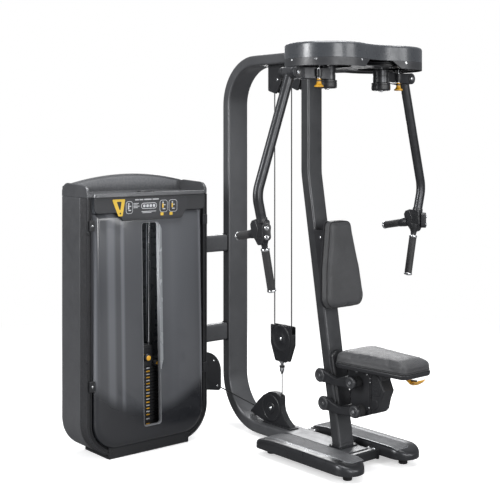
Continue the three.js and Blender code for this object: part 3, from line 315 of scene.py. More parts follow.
def rounded(corners, step=6.0):
    """Corners are (a, b, radius); a negative step is a fixed count of chords per corner."""
    out = []
    n = len(corners)
    for i, c in enumerate(corners):
        px, py, r = c[0], c[1], (c[2] if len(c) > 2 else 0)
        if r <= 0:
            out.append((px, py))
            continue
        a, b = corners[i - 1], corners[(i + 1) % n]
        u = Vector((a[0] - px, a[1] - py)).normalized()
        v = Vector((b[0] - px, b[1] - py)).normalized()
        half = math.acos(max(-1, min(1, u.dot(v)))) / 2
        if half > math.radians(89.6):
            out.append((px, py))
            continue
        t = r / math.tan(half)
        mid = (u + v).normalized() * (r / math.sin(half))
        cx, cy = px + mid.x, py + mid.y
        a0 = math.atan2(py + u.y * t - cy, px + u.x * t - cx)
        d = math.atan2(py + v.y * t - cy, px + v.x * t - cx) - a0
        while d > math.pi:
            d -= 2 * math.pi
        while d < -math.pi:
            d += 2 * math.pi
        k = int(-step) if step < 0 else max(1, math.ceil(abs(d) / math.radians(step)))
        out += [(cx + r * math.cos(a0 + d * j / k), cy + r * math.sin(a0 + d * j / k)) for j in range(k + 1)]
    return clean(out)


def clean(pts, eps=0.02):
    out = []
    for p in pts:
        if not out or math.hypot(p[0] - out[-1][0], p[1] - out[-1][1]) > eps:
            out.append(p)
    if math.hypot(out[0][0] - out[-1][0], out[0][1] - out[-1][1]) <= eps:
        out.pop()
    return out


def rect(a0, a1, b0, b1, r=0, step=9.0):
    a0, a1 = sorted((a0, a1))
    b0, b1 = sorted((b0, b1))
    return rounded([(a0, b0, r), (a1, b0, r), (a1, b1, r), (a0, b1, r)], step)


class Form:
    """Vertices in drawing millimetres and faces, joined up as pieces are added."""

    def __init__(self):
        self.v, self.f = [], []

    def rings(self, rings, cap0=True, cap1=True):
        base, n = len(self.v), len(rings[0])
        for r in rings:
            self.v += [tuple(p) for p in r]
        for i in range(len(rings) - 1):
            for j in range(n):
                a, b = base + i * n + j, base + i * n + (j + 1) % n
                self.f.append((a, b, b + n, a + n))
        if cap0:
            self.f.append(tuple(base + j for j in reversed(range(n))))
        if cap1:
            self.f.append(tuple(base + (len(rings) - 1) * n + j for j in range(n)))
        return self

    def prism(self, pts, axis, a0, a1):
        def at(p, q):
            return {"x": (q, p[0], p[1]), "y": (p[0], q, p[1]), "z": (p[0], p[1], q)}[axis]

        return self.rings([[at(p, a0) for p in pts], [at(p, a1) for p in pts]])

    def turned(self, p0, p1, profile, n=48):
        a = Vector(p0)
        t = (Vector(p1) - a).normalized()
        s = Vector((1, 0, 0)) if abs(t.z) > 0.7 else Vector((0, 0, 1))
        e = (s - t * s.dot(t)).normalized()
        f = t.cross(e)
        c = circle(0, 0, 1, n)
        return self.rings([[a + t * d + e * (m * r) + f * (k * r) for m, k in c] for d, r in profile])

    def hoop(self, p0, p1, loop, n=64):
        """A closed (distance, radius) loop turned right round the axis: a ring with a bore."""
        a = Vector(p0)
        t = (Vector(p1) - a).normalized()
        s = Vector((1, 0, 0)) if abs(t.z) > 0.7 else Vector((0, 0, 1))
        e = (s - t * s.dot(t)).normalized()
        f = t.cross(e)
        base, m = len(self.v), len(loop)
        for u, w in circle(0, 0, 1, n):
            self.v += [tuple(a + t * d + e * (u * r) + f * (w * r)) for d, r in loop]
        for i in range(n):
            for j in range(m):
                k = (j + 1) % m
                q = (i + 1) % n
                self.f.append((base + i * m + j, base + i * m + k, base + q * m + k, base + q * m + j))
        return self

    def loop_rings(self, rings):
        """Rings joined up into a closed tube whose last ring meets the first."""
        base, n, m = len(self.v), len(rings[0]), len(rings)
        for r in rings:
            self.v += [tuple(p) for p in r]
        for i in range(m):
            for j in range(n):
                a, b = base + i * n + j, base + i * n + (j + 1) % n
                c, d = base + ((i + 1) % m) * n + (j + 1) % n, base + ((i + 1) % m) * n + j
                self.f.append((a, b, c, d))
        return self

    def sweep(self, stations, section, side):
        rings = []
        for p, t in stations:
            s = Vector(side)
            a = (s - t * s.dot(t)).normalized()
            b = t.cross(a)
            rings.append([p + a * m + b * k for m, k in section])
        return self.rings(rings)


def path_of(points, step=3.0):
    out = []
    for i, q in enumerate(points):
        p, r = Vector(q[:3]), (q[3] if len(q) > 3 else 0)
        if i == 0 or i == len(points) - 1:
            t = Vector(points[1][:3]) - p if i == 0 else p - Vector(points[i - 1][:3])
            out.append((p, t.normalized()))
            continue
        u = (Vector(points[i - 1][:3]) - p).normalized()
        v = (Vector(points[i + 1][:3]) - p).normalized()
        half = math.acos(u.dot(v)) / 2
        c = p + (u + v).normalized() * (r / math.sin(half))
        f0 = p + u * (r / math.tan(half)) - c
        f1 = p + v * (r / math.tan(half)) - c
        turn, axis = math.pi - 2 * half, f0.cross(f1).normalized()
        m = max(2, math.ceil(turn / math.radians(step)))
        for j in range(m + 1):
            d = Matrix.Rotation(turn * j / m, 3, axis) @ f0
            out.append((c + d, axis.cross(d).normalized()))
    # long straight runs get more stations afterwards, from even(), so that shading and bends stay even
    return out


def even(stations, gap=60):
    out = [stations[0]]
    for (p, t), (q, s) in zip(stations, stations[1:]):
        k = int((q - p).length // gap)
        for j in range(1, k + 1):
            if k:
                out.append((p.lerp(q, j / (k + 1)), t if (t - s).length < 1e-4 else t.lerp(s, j / (k + 1)).normalized()))
        out.append((q, s))
    return out


def make(name, form, material, body, bevel=0.0, segments=3, angle=38, replaces=(), matrix=None, limit=30):
    me = bpy.data.meshes.new(name)
    pts = [V(*p) for p in form.v]
    if matrix is not None:
        pts = [matrix @ p for p in pts]
    me.from_pydata(pts, [], form.f)
    bm = bmesh.new()
    bm.from_mesh(me)
    bmesh.ops.remove_doubles(bm, verts=bm.verts, dist=1e-6)
    bmesh.ops.dissolve_degenerate(bm, edges=bm.edges, dist=1e-6)
    bmesh.ops.recalc_face_normals(bm, faces=bm.faces)
    bm.to_mesh(me)
    bm.free()
    o = bpy.data.objects.new(name, me)
    bpy.context.scene.collection.objects.link(o)
    me.materials.append(material)
    finish_mesh(o, bevel, segments, angle, limit)
    if body:
        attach(o, body)
    if replaces:
        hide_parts(*replaces)
    return o


def finish_mesh(o, bevel=0.0, segments=3, angle=38, limit=30):
    me = o.data
    me.shade_smooth()
    me.set_sharp_from_angle(angle=math.radians(angle))
    if bevel:
        b = o.modifiers.new("edge", "BEVEL")
        b.width = bevel / 1000
        b.segments = segments
        b.limit_method = "ANGLE"
        b.angle_limit = math.radians(limit)
        b.harden_normals = True
        b.use_clamp_overlap = True


def baked(o):
    """The object's mesh with its modifiers applied."""
    dg = bpy.context.evaluated_depsgraph_get()
    me = bpy.data.meshes.new_from_object(o.evaluated_get(dg), preserve_all_data_layers=True, depsgraph=dg)
    old = o.data
    o.modifiers.clear()
    o.data = me
    me.name = o.name
    bpy.data.meshes.remove(old)
    return o


def carve(o, form, op="DIFFERENCE"):
    """Cuts a form out of an object, or joins it on, for good."""
    me = bpy.data.meshes.new("cutter")
    me.from_pydata([V(*p) for p in form.v], [], form.f)
    bm = bmesh.new()
    bm.from_mesh(me)
    bmesh.ops.recalc_face_normals(bm, faces=bm.faces)
    bm.to_mesh(me)
    bm.free()
    c = bpy.data.objects.new("cutter", me)
    bpy.context.scene.collection.objects.link(c)
    m = o.modifiers.new("cut", "BOOLEAN")
    m.operation, m.solver, m.object = op, "EXACT", c
    baked(o)
    bpy.data.objects.remove(c)
    bpy.data.meshes.remove(me)
    return o


def bolt(name, p, direction, r, body, h=5.0, material=None, socket=True):
    """A button-head bolt with a washer and a round socket recess, its head standing off the face at p."""
    d = Vector(direction).normalized()
    q = Vector(p)
    f = Form()
    f.turned(q - d * 1.5, q + d, [(0, r * 1.22), (1.5 + 1.2, r * 1.22), (1.5 + 1.8, r * 1.12)], 40)
    prof = [(0, r)] + [(h * 0.35 + h * 0.65 * math.sin(math.radians(a)), r * math.cos(math.radians(a)) if a < 88 else r * 0.5) for a in (0, 20, 40, 55)]
    top = prof[-1]
    prof.append((h, r * 0.56))
    if socket:
        prof += [(h, r * 0.46), (h * 0.35, r * 0.43)]
    f.turned(q, q + d, prof, 36)
    return make(name, f, material or SILVER, body, angle=30)


FR = "frame"

# ------------------------------------------------------------------ main frame
sec = rect(-68, 68, -27.25, 27.25, 10, 7.5)
f = Form().sweep(even(path_of([(0, -330, 45.25), (0, 612.5, 45.25, 253.75), (0, 612.5, 1985, 230.75), (0, -45, 1985)], 2.5), 90), sec, (1, 0, 0))
make("main_frame_tube", f, POWDER_LIT_TUBE, FR, replaces=("rear_upright_frame",), angle=50)
for nm, yc in (("front", -332.5), ("rear", 85)):
    make(nm + "_cross_tube", Form().prism(rect(yc - 27.5, yc + 27.5, 20, 68, 8), "x", -107.7, 107.7), POWDER, FR, bevel=1.2)
    for s in (-1, 1):
        make("%s_cross_flange_%s" % (nm, "rl"[s > 0]), Form().prism(rect(yc - 33, yc + 33, 16, 72, 10), "x", s * 101, s * 107.7), DARK, FR, bevel=1.5)
        for k in (-19, 19):
            bolt("%s_cross_bolt_%s%d" % (nm, "rl"[s > 0], k > 0), (s * 84, yc + k * 0.9, 68.2), (0, 0, 1), 7, FR, 4.5)
# weld fillets where the rear cross tube meets the main tube
for nm, yc in (("front", -332.5), ("rear", 85)):
    for s in (-1, 1):
        if nm == "rear":
            make("rear_weld_%s" % "rl"[s > 0], Form().prism(rect(yc - 30, yc + 30, 20, 70, 8), "x", s * 66, s * 71), POWDER, FR, bevel=1.8)


def column_y(z):
    return 0 if z >= 1400 else -0.17 * (1400 - z)


sec = rect(-48.5, 48.5, -29, 29, 9, 7.5)
st = path_of([(0, column_y(60), 60), (0, 0, 1400, 320), (0, 0, 1957.3)], 1.0)
st[0] = (Vector((0, column_y(73.2), 73.2)), st[0][1])
f = Form()
rings = []
for i, (p, t) in enumerate(even(st, 80)):
    b = t.cross(Vector((1, 0, 0)))
    ring = [p + Vector((m, 0, 0)) + b * k for m, k in sec]
    if i == 0:
        ring = [q + t * ((73.2 - q.z) / t.z) for q in ring]
    rings.append(ring)
f.rings(rings)
col = make("column_tube", f, POWDER_LIT_COLUMN, FR, replaces=("front_column",), angle=50)
carve(col, Form().prism(rect(-60, 60, 1914, 1946, 10), "x", -20, 20))
finish_mesh(col, angle=45)
yb = column_y(73)
make("column_foot_plate", Form().prism(rect(-60, 60, yb - 42, yb + 42, 8), "z", 73.1, 79), PLASTIC, FR, bevel=1.4)
for sx in (-1, 1):
    for sy in (-1, 1):
        bolt("column_foot_bolt_%d%d" % (sx > 0, sy > 0), (sx * 54.5, yb + sy * 34, 79), (0, 0, 1), 4, FR, 3, DARK)
f = Form()
f.sweep([(Vector((0, column_y(84), 84)), Vector((0, 0.167, 0.986)))] * 1 + [(Vector((0, column_y(90), 90)), Vector((0, 0.167, 0.986)))], rect(-51, 51, -31.5, 31.5, 11), (1, 0, 0))
make("column_weld_collar", f, POWDER_LIT_COLUMN, FR, bevel=2.2)
# dark guard on the column's face behind the seat, with a rounded top
rings = []
for e, q in ((0.5, 27), (2.2, 29), (6, 29), (15, 28.2), (17.5, 26.5), (18.4, 23)):
    ring = []
    for a, b in [(-q, 236), (q, 236)] + [(q * math.cos(math.radians(t)), 506 + 28 * math.sin(math.radians(t))) for t in range(0, 181, 9)]:
        ring.append((a * 1.5, column_y(b) - 29 * math.hypot(1, 0.17) - e, b))
    rings.append(ring)
make("column_guard", Form().rings(rings), PLASTIC, FR, angle=40)
for nm, (y, z) in (("upper", (-167, 420)), ("lower", (-190, 288))):
    f = Form().turned((-79.6, y, z), (0, y, z), [(0, 17), (1, 18), (158.2, 18), (159.2, 17)], 56)
    make("column_pivot_%s_barrel" % nm, f, DARK, FR)
    f = Form().turned((-109, y, z), (0, y, z), [(0, 7), (1, 8), (217, 8), (218, 7)], 40)
    make("column_pivot_%s_pin" % nm, f, SILVER, FR)
    for s in (-1, 1):
        bolt("column_pivot_%s_head_%s" % (nm, "rl"[s > 0]), (s * 106.6, y, z), (s, 0, 0), 6, FR, 4, DARK)

# ------------------------------------------------------------------ foot rails


def rail_top(y):
    t = 91.0
    if y < -418:
        k = (-418 - y) / 111
        t = 91 - 28 * k * k * (1.25 - 0.25 * k)
    if y > 10:
        k = (y - 10) / 122
        t = 91 - 18.5 * k * (0.55 + 0.45 * k)
    return t


def rail_plan(cx, d, front=None, rear=None):
    r = 82 - d
    y0 = -519 + 82
    right, left = cx + r, cx - r
    pts = arc(cx, y0, r, 180, 360, 40)
    pts += [(right, y) for y in (-420, -380, -300, -200, -100, -40, 0, 30, 60, 90)]
    rr = max(6, 35 - d)
    pts += arc(right - rr, 132 - d - rr, rr, 0, 90, 10)
    pts += arc(left + rr, 132 - d - rr, rr, 90, 180, 10)
    pts += [(left, y) for y in (90, 60, 30, 0, -40, -100, -200, -300, -380, -420)]
    return pts


for s, side in ((-1, "right"), (1, "left")):
    cx = s * 190

    def lift(z, y):
        return 35 + (z - 35) * (rail_top(y) - 35) / 56

    f = Form()
    rings = []
    for d, z in ((3, 35.2), (0.6, 36.4), (0, 39), (0, 66), (0.8, 74), (3.2, 81), (7, 86.3), (12, 89.6), (18, 90.8), (30, 91), (46, 91), (60, 91), (72, 91)):
        rings.append([(x, y, lift(z, y)) for x, y in rail_plan(cx, d)])
    f.rings(rings)
    make(side + "_foot_rail_body", f, POWDER, FR, replaces=(side + "_foot_rail",), angle=60)
    # standing tread: a ribbed inlay inside a thin raised rim, bright as a painted highlight, on the inner part of the
    # rail
    x0, x1 = s * 117, s * 214
    plan = rounded([(x0, -472, 12), (x0, 108, 10), (x1, 108, 10), (x1, -484, 40)], 8)

    def skin(pts, h, grow):
        c = (sum(p[0] for p in pts) / len(pts), sum(p[1] for p in pts) / len(pts))
        out = []
        for x, y in pts:
            out.append((x + grow * (1 if x > c[0] else -1), y + grow * (1 if y > c[1] else -1), h))
        return out

    def dense(pts, gap=22):
        out = []
        for a, b in zip(pts, pts[1:] + pts[:1]):
            k = max(1, int(math.hypot(b[0] - a[0], b[1] - a[1]) // gap))
            out += [(a[0] + (b[0] - a[0]) * j / k, a[1] + (b[1] - a[1]) * j / k) for j in range(k)]
        return out

    dp = dense(plan)
    for nm, grow, h0, h1, mt in (("rim", 2.4, -0.6, 1.1, TRIM_HIGHLIGHT), ("tread", 0, -0.4, 1.9, TREAD)):
        f = Form()
        n = 26
        xs0, xs1 = min(x0, x1) - grow, max(x0, x1) + grow
        rows = []
        for i in range(n * 2 + 1):
            y = -472 - grow + (108 + 472 + 2 * grow) * i / (n * 2)
            a, b = xs0, xs1
            # the front corner on the outer side is cut round
            k = max(0.0, min(1.0, (-472 + 34 - y) / 34))
            cut_in = 30 * (1 - math.sqrt(max(0, 1 - k * k)))
            k2 = max(0.0, min(1.0, (y - (108 - 10)) / 10))
            cut_r = 8 * (1 - math.sqrt(max(0, 1 - k2 * k2)))
            if s > 0:
                b -= cut_in
            else:
                a += cut_in
            a += cut_r
            b -= cut_r
            zt = rail_top(y)
            e = min(2.0, (b - a) / 4)
            rows.append([(a, y, zt + h0), (a + 0.4, y, zt + h1 - 0.5), (a + e, y, zt + h1), ((a + b) / 2, y, zt + h1 + 0.2), (b - e, y, zt + h1), (b - 0.4, y, zt + h1 - 0.5), (b, y, zt + h0)])
        f.rings(rows)
        make("%s_rail_%s" % (side, nm), f, mt, FR, angle=40)
    # raised ribs on the tread
    f = Form()
    y = -456
    while y < 100:
        zt = rail_top(y) + 1.9
        slope = (rail_top(y + 2) - rail_top(y - 2)) / 4
        a, b = min(x0, x1) + 8, max(x0, x1) - 8
        k = max(0.0, min(1.0, (-472 + 44 - y) / 34))
        cut_in = 24 * (1 - math.sqrt(max(0, 1 - k * k)))
        if s > 0:
            b -= cut_in
        else:
            a += cut_in
        f.rings([[(x, y - 2.2, zt - 0.3 - 2.2 * slope), (x, y - 1.1, zt + 0.9 - 1.1 * slope), (x, y + 1.1, zt + 0.9 + 1.1 * slope), (x, y + 2.2, zt - 0.3 + 2.2 * slope)] for x in (a, b)])
        y += 12.5
    make(side + "_rail_ribs", f, TREAD, FR, angle=25)
    # the plain band beside the tread, with a fine groove line drawn as a bright strip: painted highlight
    f = Form()
    rows = []
    a, b = (s * 222, s * 226)
    for i in range(41):
        y = -420 + (100 + 420) * i / 40
        zt = rail_top(y)
        rows.append([(min(a, b), y, zt - 0.5), (min(a, b) + 1, y, zt + 0.5), (max(a, b) - 1, y, zt + 0.5), (max(a, b), y, zt - 0.5)])
    f.rings(rows)
    make(side + "_rail_line", f, TRIM_HIGHLIGHT, FR)
    for y, end in ((-443, "front"), (88, "rear")):
        f = Form().turned((cx, y, 0), (cx, y, 10), [(0, 18), (0.8, 20.5), (3, 22), (22, 22), (25, 21), (27, 18), (29, 17)], 56)
        make("%s_%s_foot_pad" % (side, end), f, RUBBER, FR, replaces=("%s_%s_foot" % (side, end),))
        f = Form().turned((cx, y, 25), (cx, y, 40), [(0, 12), (4, 12), (4.01, 8), (12.8, 8)], 6)
        make("%s_%s_foot_nut" % (side, end), f, SILVER, FR, bevel=0.8)

# ------------------------------------------------------------------ link tubes
for nm, z0, z1 in (("upper", 960, 1050), ("lower", 477, 570)):
    f = Form().prism(rect(590, 634, z0, z1, 14), "x", -272.7, -68.3)
    make(nm + "_link_tube_body", f, POWDER_LIT_TUBE, FR, replaces=(nm + "_link_tube",), bevel=0.8, angle=45)
    for x0, x1, k in ((-272.7, -266, 0), (-74.5, -68.3, 1)):
        make("%s_link_flange_%d" % (nm, k), Form().prism(rect(585, 639, z0 - 5, z1 + 5, 16), "x", x0, x1), DARK, FR, bevel=1.2)

# ------------------------------------------------------------------ weight tower


def u_path(inset, top, step=4.0):
    return rounded([(-999 + inset, top), (-999 + inset, 15 + inset, 170 - inset), (-273 - inset, 15 + inset, 170 - inset), (-273 - inset, top)], step)


def band(inset0, inset1, y0, y1, top=1285.0):
    outer, inner = u_path(inset0, top), u_path(inset1, top)
    # both outlines are walked along the same way, so they close into one strip section
    f = Form()
    n = min(len(outer), len(inner))

    def walk(pts, k):
        total = [0]
        for a, b in zip(pts, pts[1:]):
            total.append(total[-1] + math.hypot(b[0] - a[0], b[1] - a[1]))
        out = []
        i = 0
        for j in range(k + 1):
            t = total[-1] * j / k
            while i < len(total) - 2 and total[i + 1] < t:
                i += 1
            q = (t - total[i]) / (total[i + 1] - total[i])
            out.append((pts[i][0] + (pts[i + 1][0] - pts[i][0]) * q, pts[i][1] + (pts[i + 1][1] - pts[i][1]) * q))
        return out

    # start both at the left top end: rounded() begins there already
    o, q = outer, inner
    k = 150
    # straight sides and arcs share the same share of length only when sampled by part
    def parts(inset):
        r = 170 - inset
        x0, x1, zb = -999 + inset, -273 - inset, 15 + inset
        pts = [(x0, top - (top - zb - r) * j / 30) for j in range(30)]
        pts += arc(x0 + r, zb + r, r, 180, 270, 28)
        pts += [(x0 + r + (x1 - x0 - 2 * r) * j / 10, zb) for j in range(1, 10)]
        pts += arc(x1 - r, zb + r, r, 270, 360, 28)
        pts += [(x1, zb + r + (top - zb - r) * j / 30) for j in range(1, 31)]
        return pts

    a, b = parts(inset0), parts(inset1)
    f.rings([[(p[0], y0, p[1]), (p[0], y1, p[1]), (r[0], y1, r[1]), (r[0], y0, r[1])] for p, r in zip(a, b)])
    return f


make("tower_band", band(0, 26, 580, 756), POWDER_LIT_SIDE, FR, replaces=("tower_frame",), bevel=3.0, segments=4, angle=45)
make("tower_band_front", band(1.2, 26, 517.0, 580.4), STRIP, FR, bevel=2.6, segments=3, angle=45)
make("tower_band_lip", band(0.0, 9, 511.6, 518.0, 1284.0), POWDER, FR, bevel=1.6, angle=45)
make("tower_band_inner_lip", band(19, 26, 512.4, 520.0, 1284.0), DARK, FR, bevel=1.2, angle=45)
for i, (z) in enumerate((300, 620, 940, 1220)):
    for s, x in ((-1, -999), (1, -273)):
        pass
make("tower_floor_plate", Form().prism(rect(-877, -395, 520, 740, 6), "z", 0, 14.7), DARK, FR, replaces=("tower_base",), bevel=1.5)
plinth = make("tower_plinth", Form().prism(rounded([(-877, 0, 4), (-395, 0, 4), (-395, 88, 5), (-400, 92, 5), (-872, 92, 5), (-877, 88, 5)]), "y", 511, 516.7), PLASTIC, FR, bevel=1.4)
for i, (x, z) in enumerate(((-854, 69), (-854, 33), (-640, 68), (-640, 30), (-404 - 6, 72), (-404 - 6, 32))):
    bolt("plinth_bolt_%d" % i, (x, 511.2, z), (0, -1, 0), 6, FR, 3.4, DARK)

# top tray: floor, rims, cup ring and the arched rear wall


def arch(x, lift=0.0):
    R = 1462
    return 1389.5 + lift - R + math.sqrt(R * R - (x + 606) ** 2)


f = Form().prism(rounded([(-970, 484.6, 20), (-302, 484.6, 20), (-302, 511.4, 0), (-273.6, 511.4, 10), (-273.6, 755.4, 4), (-998.4, 755.4, 4), (-998.4, 511.4, 10), (-970, 511.4, 0)], 6), "z", 1285.4, 1295.5)
tray = make("tray_floor", f, TRAY, FR, replaces=("tower_top_tray",), bevel=1.5)
carve(tray, Form().turned((-556, 668, 1310), (-556, 668, 1250), [(8, 39), (19, 36.5)], 72))
finish_mesh(tray, bevel=1.2, angle=40)
f = Form().hoop((-556, 668, 1290), (-556, 668, 1330), [(0, 38.6), (0, 47), (7, 47), (9.5, 45.5), (10.4, 43), (9.5, 40.5), (7, 38.6)], 72)
make("cup_ring", f, PLASTIC, FR, angle=35)
make("cup_floor", Form().turned((-556, 668, 1286.4), (-556, 668, 1300), [(0, 38.5), (1.2, 38.5), (1.6, 36)], 72), PLASTIC, FR)
f = Form().sweep(even(path_of([(-963, 507, 1294.6), (-963, 491.5, 1294.6, 14), (-309, 491.5, 1294.6, 14), (-309, 507, 1294.6)], 6), 60), rect(-7.2, 7.2, -9.2, 8.6, 4.5, 12), (0, 1, 0))
f = Form()
rows = []
for q in rounded([(-970.5, 511, 0), (-970.5, 484, 22), (-301.5, 484, 22), (-301.5, 511, 0)], 6):
    rows.append(q)
i0 = max(range(len(rows)), key=lambda i: math.hypot(rows[i][0] - rows[i - 1][0], rows[i][1] - rows[i - 1][1]) if rows[i][1] > 510 and rows[i - 1][1] > 510 else -1)
rows = rows[i0:] + rows[:i0]
cen = Vector((-636, 560))
ring_rows = []
for i, (x, y) in enumerate(rows):
    a = Vector(rows[max(0, i - 1)])
    b = Vector(rows[min(len(rows) - 1, i + 1)])
    t = (b - a).normalized()
    nrm = Vector((-t.y, t.x))
    if nrm.dot(cen - Vector((x, y))) < 0:
        nrm = -nrm
    ring_rows.append([(x + nrm.x * w, y + nrm.y * w, z) for w, z in ((0, 1285.5), (0, 1300), (1.2, 1302.4), (4, 1303.6), (9, 1303.6), (12.4, 1302.6), (14, 1300), (14, 1285.5))])
f.rings(ring_rows)
make("tray_front_rim", f, TRIM_HIGHLIGHT if False else POWDER_LIT_SIDE, FR, bevel=0.8, angle=40)
for s, x in ((-1, -999), (1, -273)):
    a, b = (x, x + 15) if s < 0 else (x - 15, x)
    f = Form()
    rows = []
    for j in range(25):
        u = j / 24
        y = 514.5 + (755.6 - 514.5) * (0.5 - 0.5 * math.cos(math.pi * u))
        t = 1343 + 12 * (y - 514) / 242
        if y < 554:
            t -= 40 - math.sqrt(max(0.0, 40 * 40 - (554 - y) ** 2))
        if y > 705:
            t -= 52 - math.sqrt(max(0.0, 52 * 52 - (y - 705) ** 2))
        rows.append([(a, y, 1286), (a, y, t - 4), (a + 3, y, t - 0.8), ((a + b) / 2, y, t), (b - 3, y, t - 0.8), (b, y, t - 4), (b, y, 1286)])
    f.rings(rows)
    make("tray_side_rim_%s" % "rl"[s > 0], f, POWDER_LIT_SIDE, FR, bevel=0.8, angle=40)
# rear wall with a rolled arch edge
f = Form()
rows = []
N = 60
for j in range(N + 1):
    x = -997 + 722 * j / N
    t = arch(x)
    rows.append([(x, 755.4, 1286), (x, 755.4, t - 7), (x, 753.6, t - 2.5), (x, 749, t), (x, 742, t), (x, 737, t - 2.5), (x, 735.2, t - 8), (x, 733.5, 1286)])
f.rings(rows)
make("tray_rear_wall", f, POWDER_LIT_SIDE, FR, angle=50, bevel=0.6)
# recessed panel line on the inner face of the rear wall
f = Form()
rows = []
for j in range(N + 1):
    x = -960 + 648 * j / N
    t = arch(x, -13)
    rows.append([(x, 734.6, 1303), (x, 733.0, 1304.5), (x, 733.6, t - 1.5), (x, 735.0, t)])
f.rings(rows)
make("tray_rear_inlay", f, TRAY, FR, angle=50)

hdr = rounded([(-968, 1284.6, 3), (-968, 1207, 22), (-838, 1207, 14), (-806, 1166, 14), (-452, 1166, 14), (-424, 1207, 14), (-304, 1207, 22), (-304, 1284.6, 3)], 6)
make("header_panel", Form().prism([(x + (0.01 if x < -900 else 0), z) for x, z in hdr], "y", 492, 504), PLASTIC_GREY_LOW, FR, replaces=("tower_header_panel",), bevel=2.4, segments=4)
# instruction placard: generic shapes only, no wording
pl = rounded([(-858, 1277, 8), (-858, 1216, 8), (-838, 1213, 8), (-812, 1178, 8), (-446, 1178, 8), (-428, 1213, 8), (-420, 1216, 8), (-420, 1277, 8)], 8)
make("placard", Form().prism(pl, "y", 490.9, 492.2), PLACARD, FR, bevel=0.5, segments=2)
make("placard_side_field", Form().prism(rounded([(-872, 1274, 5), (-836, 1190, 4), (-812, 1190, 4), (-796, 1274, 5)], 10), "y", 489.9, 491.1), YELLOW, FR, bevel=0.4, segments=2)
make("placard_side_mark", Form().prism(rounded([(-846, 1262, 3), (-826, 1214, 3), (-818, 1262, 3)], 12), "y", 489.5, 490.1), DARK, FR)
make("placard_side_mark_dot", Form().prism(circle(-825, 1204, 4.4, 24), "y", 489.5, 490.1), DARK, FR)
for i, (x0, x1, z, t) in enumerate(((-738, -716, 1268, 3), (-712, -690, 1268, 3), (-684, -640, 1268, 3), (-634, -596, 1268, 3), (-748, -716, 1250, 1.6), (-748, -724, 1243, 1.6), (-748, -712, 1236, 1.6), (-748, -722, 1229, 1.6), (-700, -612, 1208, 1.6), (-694, -640, 1202, 1.4))):
    make("placard_bar_%d" % i, Form().prism(rect(x0, x1, z - t, z + t, 1.2), "y", 490.3, 491.0), PALE, FR, bevel=0.2, segments=1)
make("placard_pill", Form().prism(rect(-702, -608, 1221, 1251, 14.6), "y", 490.3, 491.0), PALE, FR, bevel=0.2, segments=1)
make("placard_pill_in", Form().prism(rect(-699, -611, 1224, 1248, 11.6), "y", 490.0, 490.5), PLACARD, FR, bevel=0.2, segments=1)
for i in range(4):
    x = -684 + i * 19.5
    make("placard_cell_%d" % i, Form().prism(rect(x - 7, x + 7, 1229, 1243, 4), "y", 489.7, 490.2), PALE, FR, bevel=0.2, segments=1)
for i, (x, w) in enumerate(((-772, 20), (-566, 24), (-508, 26))):
    make("placard_outline_%d" % i, Form().prism(rect(x - w, x + w, 1200, 1262, 14), "y", 490.4, 491.0), PALE, FR, bevel=0.2, segments=1)
    make("placard_outline_in_%d" % i, Form().prism(rect(x - w + 2.4, x + w - 2.4, 1202.4, 1259.6, 12), "y", 490.1, 490.6), PLACARD, FR, bevel=0.2, segments=1)
    # plain bars inside each outline
    for j, (dx, dz, hw, hh) in enumerate(((-4, 18, 4, 4), (-5, 2, 4, 11), (5, 6, 6, 2.4), (2, -14, 8, 2.6))):
        make("placard_bars_%d_%d" % (i, j), Form().prism(rect(x + dx - hw, x + dx + hw, 1231 + dz - hh, 1231 + dz + hh, 2), "y", 489.6, 490.3), PALE if j != 1 else (PALE if i == 0 else YELLOW), FR, bevel=0.2, segments=1)
for i, x in enumerate((-576, -520)):
    make("placard_tag_%d" % i, Form().prism(rect(x - 9, x + 9, 1184, 1199, 2), "y", 490.2, 491.0), YELLOW, FR, bevel=0.2, segments=1)

# front shield: a leaned shell with rolled edges and the pin slot


def lean_y(y, z):
    return y + (z - 50) * 27 / 1150


def shield_ring(inset, y, n_arc=16):
    x0, x1, zb, zt = -966 + inset, -306 - inset, 50 + inset, 1206 - max(0, inset - 3)
    r = max(20, 136 - inset)
    rt = max(2, 12 - inset)
    pts = arc(x0 + rt, zt - rt, rt, 90, 180, 4)
    pts += [(x0, zt - rt - (zt - rt - zb - r) * j / 14) for j in range(1, 14)]
    pts += arc(x0 + r, zb + r, r, 180, 270, n_arc)
    pts += [(x0 + r + (x1 - x0 - 2 * r) * j / 8, zb) for j in range(1, 8)]
    pts += arc(x1 - r, zb + r, r, 270, 360, n_arc)
    pts += [(x1, zb + r + (zt - rt - zb - r) * j / 14) for j in range(1, 14)]
    pts += arc(x1 - rt, zt - rt, rt, 0, 90, 4)
    return [(x, lean_y(y, z), z) for x, z in pts]


prof = [(0, 528), (0, 516)] + [(35 - 35 * math.cos(math.radians(a)), 516 - 35 * math.sin(math.radians(a))) for a in (10, 20, 30, 40, 50, 60, 70, 80, 90)]
f = Form().rings([shield_ring(d, y) for d, y in prof])
sh = make("shield_front_sheet", f, SHIELD, FR, replaces=("front_shield",), angle=60)
inner = [(5, 540), (5, 516)] + [(5 + 30 - 30 * math.cos(math.radians(a)), 516 - 30 * math.sin(math.radians(a))) for a in (10, 20, 30, 40, 50, 60, 70, 80, 90)]
g = Form().rings([shield_ring(d, y) for d, y in inner])
carve(sh, g)
carve(sh, Form().prism(rect(-689, -585, 135, 1151, 14), "y", 440, 560))
carve(sh, Form().prism(rect(-880, -392, 0, 94, 2), "y", 509.5, 570))
finish_mesh(sh, angle=42)
